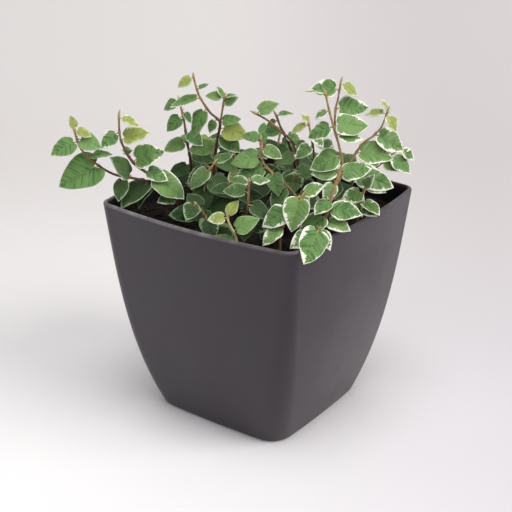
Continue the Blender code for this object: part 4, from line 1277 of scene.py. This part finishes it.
def add_rootlets(body, path, rng):
    """Thin holding roots that come out low on the stem and turn down to the soil."""
    for _ in range(rng.randint(*ROOTLET_COUNT)):
        foot = at_place(path, rng.uniform(*ROOTLET_PLACES))
        turn = rng.uniform(0, 360)
        out = aim(turn, rng.uniform(*ROOTLET_RISES))
        length = ROOTLET_LENGTH * rng.uniform(*ROOTLET_LENGTHS)
        end = foot + out * length + Vector((0, 0, -ROOTLET_DROP * length))
        turn += rng.uniform(-ROOTLET_SWING, ROOTLET_SWING)
        bend = foot + aim(turn, ROOTLET_BEND_RISE) * length * ROOTLET_BEND
        pull = bend.lerp(end, ROOTLET_STRAIGHT)
        line = geometry.interpolate_bezier(foot, bend, pull, end, ROOTLET_POINTS)
        radii = [ROOTLET_RADIUS * (1 - ROOTLET_TAPER * k) for k in range(ROOTLET_POINTS)]
        places = [(ROOTLET_TINT, 0.0, 0.0)] * ROOTLET_POINTS
        body.add_tube(line, radii, THIN_SIDES, BARK, places, (own_seed(rng), 0.0, 0.0))


# Finishes

def scaled(colour, share):
    """A colour made darker or lighter."""
    return tuple(share * c for c in colour)


def mixed(first, second, share):
    """A colour with a share of the second in it."""
    return tuple((1 - share) * a + share * b for a, b in zip(first, second))


class Nodes:
    """The nodes of a material or a group. Each method adds some and gives back what they put out."""

    def __init__(self, tree):
        self.tree = tree

    def fill(self, socket, value):
        """Link a socket from another one, or set it to a value."""
        if isinstance(value, bpy.types.NodeSocket):
            self.tree.links.new(value, socket)
        else:
            socket.default_value = (*value, 1.0) if socket.type == "RGBA" else value

    def put(self, kind, *by_number, settings=None, **by_name):
        """Any node. Its inputs are given by number, or by name with a low line for each space."""
        node = self.tree.nodes.new("ShaderNode" + kind)
        for name, value in (settings or {}).items():
            setattr(node, name, value)
        for number, value in enumerate(by_number):
            self.fill(node.inputs[number], value)
        for name, value in by_name.items():
            self.fill(node.inputs[name.replace("_", " ")], value)
        return node.outputs

    def maths(self, operation, *values):
        return self.put("Math", *values, settings={"operation": operation})[0]

    def times(self, first, second):
        return self.maths("MULTIPLY", first, second)

    def plus(self, first, second):
        return self.maths("ADD", first, second)

    def less(self, first, second):
        return self.maths("SUBTRACT", first, second)

    def most(self, first, second):
        return self.maths("MAXIMUM", first, second)

    def swing(self, value, width):
        """The value as it goes up and down again between 0 and a width."""
        return self.maths("PINGPONG", value, width)

    def step(self, value, low, high, start=0.0, end=1.0):
        """A smooth change from start to end while the value goes from low to high."""
        return self.put("MapRange", settings={"interpolation_type": "SMOOTHSTEP"}, Value=value,
                        From_Min=low, From_Max=high, To_Min=start, To_Max=end)[0]

    def blend(self, share, low, high):
        """One colour turning into another."""
        node = self.tree.nodes.new("ShaderNodeMix")
        node.data_type = "RGBA"
        sockets = {socket.identifier: socket for socket in node.inputs}
        for name, value in (("Factor_Float", share), ("A_Color", low), ("B_Color", high)):
            self.fill(sockets[name], value)
        return next(s for s in node.outputs if s.identifier == "Result_Color")

    def point(self, *numbers):
        return self.put("CombineXYZ", *numbers)[0]

    def clouds(self, place, scale, detail, roughness=0.5):
        """Soft noise round one half."""
        return self.put("TexNoise", Vector=place, Scale=scale, Detail=detail, Roughness=roughness)[0]

    def cells(self, place, scale):
        """How far it is to the nearest line of a net of cells."""
        return self.put("TexVoronoi", settings={"feature": "DISTANCE_TO_EDGE"}, Vector=place,
                        Scale=scale)[0]


class Group(Nodes):
    """A node group with named inputs and outputs, shared by several materials."""

    def __init__(self, name, inputs, outputs):
        super().__init__(bpy.data.node_groups.new(name, "ShaderNodeTree"))
        new_socket = self.tree.interface.new_socket
        for label, default in inputs.items():
            kind = "NodeSocketVector" if isinstance(default, tuple) else "NodeSocketFloat"
            new_socket(name=label, in_out="INPUT", socket_type=kind).default_value = default
        for label in outputs:
            new_socket(name=label, in_out="OUTPUT", socket_type="NodeSocketFloat")
        self.given = list(self.tree.nodes.new("NodeGroupInput").outputs)[:len(inputs)]
        self.out = self.tree.nodes.new("NodeGroupOutput")

    def give(self, **results):
        """Link the outputs, and give back the finished group."""
        for label, socket in results.items():
            self.fill(self.out.inputs[label], socket)
        return self.tree


class Finish(Nodes):
    """A material with its one shader."""

    def __init__(self, name):
        self.material = bpy.data.materials.new(name)
        self.material.use_nodes = True
        super().__init__(self.material.node_tree)

    def place(self):
        return self.put("TexCoord")["Object"]

    def reading(self, name):
        """The three numbers that a piece gives at each point, apart."""
        return self.put("SeparateXYZ", self.put("Attribute", settings={"attribute_name": name})["Vector"])

    def use(self, group, **given):
        return self.put("Group", settings={"node_tree": group}, **given)

    def patches(self, scale, detail, low, high):
        return self.use(mottling(), Place=self.place(), Scale=scale, Detail=detail, Low=low, High=high)[0]

    def bump(self, height, strength, distance):
        return self.put("Bump", Strength=strength, Distance=distance, Height=height)[0]

    def shade(self, **inputs):
        """Feed the shader, and give back the finished material."""
        shader = self.tree.nodes["Principled BSDF"]
        for name, value in inputs.items():
            self.fill(shader.inputs[name.replace("_", " ")], value)
        return self.material


@functools.lru_cache(maxsize=None)
def mottling():
    """Soft uneven patches, from 0 to 1, of a chosen size."""
    group = Group("mottling", {"Place": (0.0, 0.0, 0.0), "Scale": 50.0, "Detail": 3.0, "Low": 0.35,
                               "High": 0.65}, ("Patches",))
    place, scale, detail, low, high = group.given
    return group.give(Patches=group.step(group.clouds(place, scale, detail, 0.55), low, high))


@functools.lru_cache(maxsize=None)
def leaf_veins():
    """The veins of a blade: midrib, side veins and the fine net between them."""
    group = Group("leaf veins", {"Along": 0.0, "Across": 0.0, "Seed": 0.0}, ("Veins", "Net", "Relief"))
    along, across, seed = group.given
    away = group.maths("ABSOLUTE", across)
    midrib = group.step(away, 0.006, 0.022, 1.0, 0.0)
    straight = group.less(along, group.times(away, VEIN_SLANT))
    curved = group.plus(straight, group.times(group.times(away, away), -VEIN_CURVE))
    shift = group.times(group.maths("SIGN", across), VEIN_SHIFT)
    count = group.plus(group.times(curved, VEIN_COUNT), shift)
    near = group.swing(group.plus(count, seed), 0.5)
    side = group.step(near, 0.0, 0.075, 1.0, 0.0)
    cells = group.cells(group.point(along, across, seed), NET_SCALE)
    net = group.step(cells, 0.0, 0.09, 1.0, 0.0)
    pillows = group.times(group.step(near, 0.0, 0.42), 0.6)
    small = group.times(group.step(cells, 0.0, 0.28), 0.4)
    return group.give(Veins=group.most(midrib, group.times(side, 0.75)), Net=net,
                      Relief=group.plus(pillows, small))


@functools.lru_cache(maxsize=None)
def leaf_margins():
    """The uneven cream margin of a blade, the grey patches inside it and the flecks of its green."""
    group = Group("leaf margins", {"Along": 0.0, "Across": 0.0, "Edge": 0.0, "Seed": 0.0, "Breadth": 1.0},
                  ("Cream", "Grey", "Flecks"))
    along, across, edge, seed, wish = group.given
    away = group.maths("ABSOLUTE", across)
    flank = group.maths("SIGN", across)
    shift = group.times(seed, 7.3)
    place = group.point(group.times(along, 2.4), group.times(flank, 3.0), shift)
    slope = group.less(along, group.times(away, VEIN_SLANT))
    streaks = group.point(group.times(slope, 13.0), group.plus(group.times(away, 2.5), flank), shift)
    lobes = group.step(group.clouds(place, 1.0, 1.0), 0.36, 0.70, 0.12, 2.2)
    teeth = group.step(group.clouds(streaks, 1.0, 2.0), 0.32, 0.72, 0.45, 1.8)
    breadth = group.times(group.times(lobes, teeth), wish)
    rim = group.step(edge, group.times(breadth, 0.86), group.plus(breadth, 0.16), 1.0, 0.0)
    cream = group.times(rim, group.step(wish, 0.04, 0.22))
    far = group.step(group.clouds(streaks, 0.55, 3.0), 0.38, 0.66, 0.7, 4.5)
    reach = group.times(breadth, far)
    grey = group.step(edge, reach, group.plus(reach, 0.45), 1.0, 0.0)
    flecks = group.step(group.clouds(streaks, 0.8, 4.0), 0.45, 0.62)
    return group.give(Cream=cream, Grey=grey, Flecks=flecks)


def plastic():
    """Satin moulded plastic with a fine grain, painted shade inside, a highlight painted as a paler band
    along the front of the lip and mottled by scuffs, and a rubbed foot.
    """
    settings = bpy.context.scene.fig_pot
    look = Finish("dark_plastic")
    across, along, height = look.put("SeparateXYZ", look.place())
    clouds = look.patches(26.0, 4.0, 0.30, 0.72)
    scuffs = look.patches(120.0, 5.0, 0.42, 0.70)
    # Painted highlight: a paler band along the top of the lip, mottled by scuffs and kept to the front. The
    # foot's paleness is wear.
    lip = look.step(height, settings.height - LIP_HIGHLIGHT[0], settings.height - LIP_HIGHLIGHT[1])
    lip_highlight = look.times(lip, look.plus(look.times(scuffs, 0.5), 0.45))
    front = look.times(look.step(across, *HIGHLIGHT_ACROSS, 0.40), look.step(along, *HIGHLIGHT_ALONG, 0.60))
    foot = look.step(height, FOOT_WORN, 0.0, 0.0, 0.08)
    highlight_and_wear = look.most(look.times(lip_highlight, front), look.times(foot, scuffs))
    tint = look.blend(clouds, scaled(settings.colour, 0.88), scaled(settings.colour, 1.12))
    # Painted shade: the inside of the pot is darkened to 0.35 of its colour.
    tint = look.blend(look.reading("place")[0], tint, scaled(settings.colour, 0.35))
    low, high = settings.roughness - 0.04, settings.roughness + 0.05
    return look.shade(Base_Color=look.blend(highlight_and_wear, tint, settings.highlight_and_wear_colour),
                      Roughness=look.step(clouds, 0.0, 1.0, low, high), Specular_IOR_Level=0.50,
                      Sheen_Weight=0.12, Sheen_Roughness=0.45,
                      Normal=look.bump(look.clouds(look.place(), 1700.0, 2.0), 0.10, 0.00012))


def soil_finish(name, share):
    """Damp crumbled soil; share is how much of it has dried."""
    settings = bpy.context.scene.fig_soil
    look = Finish(name)
    patches = look.patches(420.0, 5.0, 0.40, 0.68)
    dry = look.times(look.plus(look.times(patches, 0.6), look.reading("draw")[0]), share)
    return look.shade(Base_Color=look.blend(dry, settings.colour, settings.dry_colour), Roughness=0.92,
                      Specular_IOR_Level=0.25,
                      Normal=look.bump(look.clouds(look.place(), 2600.0, 4.0), 0.6, 0.0003))


def bark_finish():
    """Red-brown bark that turns tan towards the tip, greener on the fresh stem, with fine cracks."""
    settings = bpy.context.scene.fig_stem
    look = Finish("fig_bark")
    patches = look.patches(620.0, 4.0, 0.35, 0.68)
    young = look.step(look.plus(look.reading("place")[0], look.times(patches, 0.12)), 0.62, 0.98)
    old = look.blend(patches, settings.bark, scaled(settings.bark, 2.1))
    tan = look.blend(patches, settings.young_bark, scaled(settings.young_bark, 0.48))
    fresh = look.times(look.reading("draw")[1], 0.7)
    cracks = look.step(look.cells(look.place(), 1300.0), 0.0, 0.22)
    return look.shade(Base_Color=look.blend(fresh, look.blend(young, old, tan), FRESH_GREEN),
                      Roughness=look.step(patches, 0.0, 1.0, 0.55, 0.78),
                      Normal=look.bump(cracks, 0.45, 0.00015))


def stalk_finish():
    """Stalks from red brown to tan, each with its own share, and green where the leaf is young."""
    settings = bpy.context.scene.fig_stem
    look = Finish("fig_stalk")
    seed, youth_and_shade, _ = look.reading("draw")
    patches = look.patches(700.0, 3.0, 0.35, 0.7)
    own = look.swing(look.times(seed, 2.7), 1.0)
    dull_green = (0.42, 0.42, 0.22)
    tint = look.blend(own, mixed(settings.stalk, settings.bark, 0.55), settings.stalk)
    tint = look.blend(look.times(patches, 0.4), tint, dull_green)
    return look.shade(Base_Color=look.blend(look.times(youth_and_shade, 0.75), tint, FRESH_GREEN), Roughness=0.55,
                      Normal=look.bump(patches, 0.3, 0.0001))


def bud_finish():
    """Pinkish tan buds and scales, greener at the foot."""
    settings = bpy.context.scene.fig_stem
    look = Finish("fig_bud")
    patches = look.patches(900.0, 3.0, 0.35, 0.7)
    greenish, pinkish = (0.40, 0.36, 0.13), (0.50, 0.30, 0.13)
    foot = look.blend(patches, greenish, pinkish)
    tint = look.blend(look.step(look.reading("place")[0], 0.05, 0.6), foot, settings.bud)
    return look.shade(Base_Color=tint, Roughness=0.5, Normal=look.bump(patches, 0.25, 0.0001))


def hair_finish():
    """Pale brown hairs."""
    look = Finish("fig_hair")
    tawny, straw = (0.45, 0.27, 0.14), (0.70, 0.55, 0.36)
    patches = look.patches(500.0, 1.0, 0.3, 0.7)
    return look.shade(Base_Color=look.blend(patches, tawny, straw), Roughness=0.6)


def grown_green(look, settings, own, old, flecks):
    """The green of a grown leaf: from deep to light by its own draw, and darkened with painted shade where
    it is low inside the pot.
    """
    middling = mixed(settings.deep_green, settings.green, 0.5)
    deep = look.blend(look.step(own, 0.0, 1.0, 0.35, 0.85), settings.deep_green, middling)
    plain = look.blend(look.less(1.0, flecks), deep, settings.green)
    light = look.blend(look.times(flecks, 0.4), settings.light_green, settings.green)
    plain = look.blend(look.step(own, 0.45, 0.95, 0.0, 0.60), plain, light)
    # Painted shade on the low leaves inside the pot.
    return look.blend(look.times(old, 0.95), plain, scaled(settings.deep_green, 0.40))


def leaf_finish(face):
    """The upper face of a blade, or its duller underside where face is false."""
    settings = bpy.context.scene.fig_leaf
    look = Finish("fig_leaf_face" if face else "fig_leaf_back")
    along, across, edge = look.reading("place")
    seed, youth_and_shade, pale = look.reading("draw")
    breadth = look.times(pale, settings.margin * MILLIMETRES)
    cream, grey, flecks = look.use(leaf_margins(), Along=along, Across=across, Edge=edge, Seed=seed,
                                   Breadth=breadth)
    veins, net, pillows = look.use(leaf_veins(), Along=along, Across=across, Seed=seed)
    own = look.swing(look.times(seed, 5.3), 1.0)
    # Painted shade: old measures the shade painted on a low leaf inside the pot. It greens the cream margin
    # and mutes the veins and grey patches.
    old = look.step(youth_and_shade, -1.0, 0.0, 1.0, 0.0)
    pale_green = mixed(settings.young_green, settings.cream, 0.45)
    rim = look.blend(look.times(youth_and_shade, 0.6), settings.cream, pale_green)
    rim = look.blend(look.times(old, 0.90), rim, settings.green)
    if face:
        vein_share, net_share, glossy, rough, height = 0.20, 0.07, 0.50, 0.58, 0.42
        grown = grown_green(look, settings, own, old, flecks)
        relief = look.less(pillows, look.times(veins, 0.5))
    else:
        vein_share, net_share, glossy, rough, height = 0.40, 0.22, 0.62, 0.72, 0.70
        grown = look.blend(flecks, settings.back_green, scaled(settings.back_green, 0.75))
        relief = look.plus(look.times(net, 0.6), veins)
        rim = look.blend(0.35, rim, settings.back_green)
    young = look.blend(flecks, settings.young_green, scaled(settings.young_green, 0.8))
    green = look.blend(youth_and_shade, grown, young)
    lines = look.most(look.times(veins, vein_share), look.times(net, net_share))
    # Painted shade mutes the veins.
    clear_lines = look.times(lines, look.less(1.0, look.times(old, 0.7)))
    lined = look.blend(clear_lines, green, settings.grey_green)
    patch = look.blend(youth_and_shade, settings.grey_green, pale_green)
    clear_patches = look.times(grey, look.step(youth_and_shade, -1.0, 0.0, 0.04, 0.42))
    patched = look.blend(clear_patches, lined, patch)
    return look.shade(Base_Color=look.blend(cream, patched, rim),
                      Roughness=look.step(flecks, 0.0, 1.0, glossy, rough), Specular_IOR_Level=0.25,
                      Normal=look.bump(relief, height, 0.0003))


def floor_finish():
    """Matt pale floor that turns into a warmer backdrop, darkened towards the back by painted shade, and
    both with painted shade on the right.
    """
    settings = bpy.context.scene.fig_stage
    look = Finish("pale_floor")
    place = look.place()

    def reach(heading):
        """How far a place lies from the middle, measured along a heading."""
        return look.put("VectorMath", place, aim(heading, 0), settings={"operation": "DOT_PRODUCT"})["Value"]

    turn = math.degrees(settings.azimuth)
    # Painted shade on the right.
    right = look.step(reach(turn), -0.08, 0.22)
    floor = look.blend(right, settings.floor, settings.floor_painted_shade)
    wall = look.blend(right, settings.wall, settings.wall_painted_shade)
    # Towards the back the floor turns into the warmer backdrop, darkened by painted shade.
    plain = look.blend(look.step(reach(turn + 90), -0.15, 0.45), floor, wall)
    clouds = look.times(look.patches(3.0, 2.0, 0.2, 0.8), 0.04)
    return look.shade(Base_Color=look.blend(clouds, plain, settings.wall_painted_shade), Roughness=0.9,
                      Specular_IOR_Level=0.1)


# Operators

class FIG_OT_pot(bpy.types.Operator):
    """Build the square pot"""
    bl_idname = "fig.pot"
    bl_label = "Build Pot"

    def execute(self, context):
        body = Body()
        rings = pot_rings(pot_sizes())
        inside = len(rings) - WALL_STEPS - 1
        # The inner rings are marked, and plastic() paints shade on them.
        places = [(float(k >= inside), 0.0, 0.0) for k, ring in enumerate(rings) for _ in ring]
        body.add(loft(rings), 0, places)
        body.piece("square_pot", [plastic()], "dark_plastic", "pot", sharp=60)
        return {"FINISHED"}


class FIG_OT_soil(bpy.types.Operator):
    """Fill the pot with soil and strew crumbs on it"""
    bl_idname = "fig.soil"
    bl_label = "Build Soil"

    def execute(self, context):
        pot = pot_sizes()
        settings = context.scene.fig_soil
        body = Body()
        body.add(loft(soil_rings(pot)), 0)
        body.piece("soil_filling", [soil_finish("potting_soil", 0.5)], "potting_soil", "soil", sharp=80)
        rng = random.Random(SEED)
        crumbs = Body()
        laid = 0
        while laid < settings.crumbs:
            spot = Vector((rng.uniform(-CRUMB_REACH, CRUMB_REACH), rng.uniform(-CRUMB_REACH, CRUMB_REACH),
                           SOIL_TOP))
            size = min(CRUMB_SIZES[1], max(CRUMB_SIZES[0], rng.lognormvariate(0.0, CRUMB_SPREAD)))
            radius = settings.crumb_size / 2 * size
            if outside_wall(pot, spot) > -pot.wall - GAP - CRUMB_ROOM * radius:
                continue
            share = max(abs(spot.x), abs(spot.y)) / CRUMB_LEVEL_REACH
            spot.z = soil_height(spot.x, spot.y, min(1.0, share)) + CRUMB_RISE * radius
            points, faces = ball(radius, rng)
            crumbs.add(([p + spot for p in points], faces), 0, draw=(rng.random() ** 2, 0.0, 0.0))
            laid += 1
        crumbs.piece("soil_crumbs", [soil_finish("soil_crumb", 0.9)], "potting_soil", "soil", sharp=80)
        return {"FINISHED"}


class FIG_OT_stems(bpy.types.Operator):
    """Grow the leafy stems: wood, stalks, buds, hairs and blades"""
    bl_idname = "fig.stems"
    bl_label = "Grow Stems"

    def execute(self, context):
        finishes = [bark_finish(), stalk_finish(), bud_finish(), hair_finish(), leaf_finish(True),
                    leaf_finish(False)]
        for name, grown in grow_plant(pot_sizes()):
            rng = random.Random(name + " looks")
            body = Body()
            add_wood(body, name, grown, rng)
            add_leaves(body, name, grown, rng)
            body.piece(name.replace("stem", "leafy_stem", 1), finishes, "fig_leaf", name)
        return {"FINISHED"}


class FIG_OT_stage(bpy.types.Operator):
    """Lay the floor, hang the lights and place the camera"""
    bl_idname = "fig.stage"
    bl_label = "Set Stage"

    def execute(self, context):
        settings = context.scene.fig_stage
        turn = math.degrees(settings.azimuth)
        back = aim(turn - 90, math.degrees(settings.elevation))
        make_sweep(turn)
        make_light("key_light", heading=12, rise=38, distance=2.4, size=1.6,
                   power=settings.key_power, colour=(1.0, 0.98, 0.96))
        make_light("fill_light", heading=270, rise=35, distance=2.4, size=2.0,
                   power=settings.fill_power, colour=(0.97, 0.98, 1.0))
        make_light("top_light", heading=300, rise=78, distance=2.2, size=1.2,
                   power=settings.key_power * TOP_SHARE, colour=(1.0, 1.0, 1.0))
        world = context.scene.world or bpy.data.worlds.new("room")
        context.scene.world = world
        world.use_nodes = True
        sky = world.node_tree.nodes["Background"]
        sky.inputs["Color"].default_value = (*ROOM_TINT, 1.0)
        sky.inputs["Strength"].default_value = settings.sky
        camera = new_object("camera", bpy.data.cameras.new("camera"))
        right = aim(turn, 0)
        turned = Matrix((right, back.cross(right), back)).transposed().to_4x4()
        camera.matrix_world = (Matrix.Translation(Vector(VIEW_POINT) + back * VIEW_DISTANCE) @ turned
                               @ Matrix.Rotation(settings.roll, 4, "Z"))
        camera.data.sensor_width = SENSOR
        camera.data.lens = SENSOR * FOCAL_PIXELS / FRAME_PIXELS
        context.scene.camera = camera
        context.scene.view_settings.view_transform = "Standard"
        return {"FINISHED"}


def make_sweep(turn):
    """A floor that curves up into a backdrop behind the pot, as seen from the camera."""
    behind, right = aim(turn + 90, 0), aim(turn, 0)
    line = [(out, 0.0) for out in SWEEP_FLAT]
    for degrees in range(0, 91, SWEEP_STEP):
        angle = math.radians(degrees)
        line.append((SWEEP_BEND + SWEEP_RADIUS * math.sin(angle), SWEEP_RADIUS * (1 - math.cos(angle))))
    line += [(SWEEP_BEND + SWEEP_RADIUS, up) for up in (2 * SWEEP_RADIUS, SWEEP_TOP)]
    points = []
    for out, up in line:
        middle = behind * out + Vector((0, 0, up))
        points += [middle - right * SWEEP_SIDE, middle + right * SWEEP_SIDE]
    faces = [(2 * k, 2 * k + 1, 2 * k + 3, 2 * k + 2) for k in range(len(line) - 1)]
    mesh = bpy.data.meshes.new("floor_sweep")
    mesh.from_pydata([tuple(p) for p in points], [], faces)
    mesh.shade_smooth()
    mesh.materials.append(floor_finish())
    sweep = new_object("floor_sweep", mesh)


def make_light(name, heading, rise, distance, size, power, colour):
    """A large soft light that looks at the plant."""
    direction = aim(heading, rise)
    lamp = bpy.data.lights.new(name, "AREA")
    lamp.shape = "DISK"
    lamp.size = size
    lamp.energy = power
    lamp.color = colour
    light = new_object(name, lamp)
    light.location = Vector((0, 0, LIGHT_TARGET)) + direction * distance
    light.rotation_mode = "QUATERNION"
    light.rotation_quaternion = (-direction).to_track_quat("-Z", "Y")


class FIG_PT_panel(bpy.types.Panel):
    """Sizes and colours of the potted fig, and the buttons that build it"""
    bl_label = "Creeping Fig"
    bl_idname = "FIG_PT_panel"
    bl_space_type = "VIEW_3D"
    bl_region_type = "UI"
    bl_category = "Creeping Fig"

    def draw(self, context):
        for name, settings in SETTINGS.items():
            box = self.layout.box()
            box.label(text=name.replace("fig_", "").title())
            for setting in settings.__annotations__:
                box.prop(getattr(context.scene, name), setting)
        for operator in OPERATORS:
            self.layout.operator(operator.bl_idname)


SETTINGS = {"fig_pot": PotSettings, "fig_soil": SoilSettings, "fig_leaf": LeafSettings,
            "fig_stem": StemSettings, "fig_stage": StageSettings}
OPERATORS = (FIG_OT_stage, FIG_OT_pot, FIG_OT_soil, FIG_OT_stems)
CLASSES = (*SETTINGS.values(), *OPERATORS, FIG_PT_panel)


def register():
    for kind in CLASSES:
        bpy.utils.register_class(kind)
    for name, kind in SETTINGS.items():
        setattr(bpy.types.Scene, name, bpy.props.PointerProperty(type=kind))


def unregister():
    for name in SETTINGS:
        delattr(bpy.types.Scene, name)
    for kind in reversed(CLASSES):
        bpy.utils.unregister_class(kind)


def main():
    register()
    bpy.ops.fig.stage()
    bpy.ops.fig.pot()
    bpy.ops.fig.soil()
    bpy.ops.fig.stems()


if __name__ == "__main__":
    main()
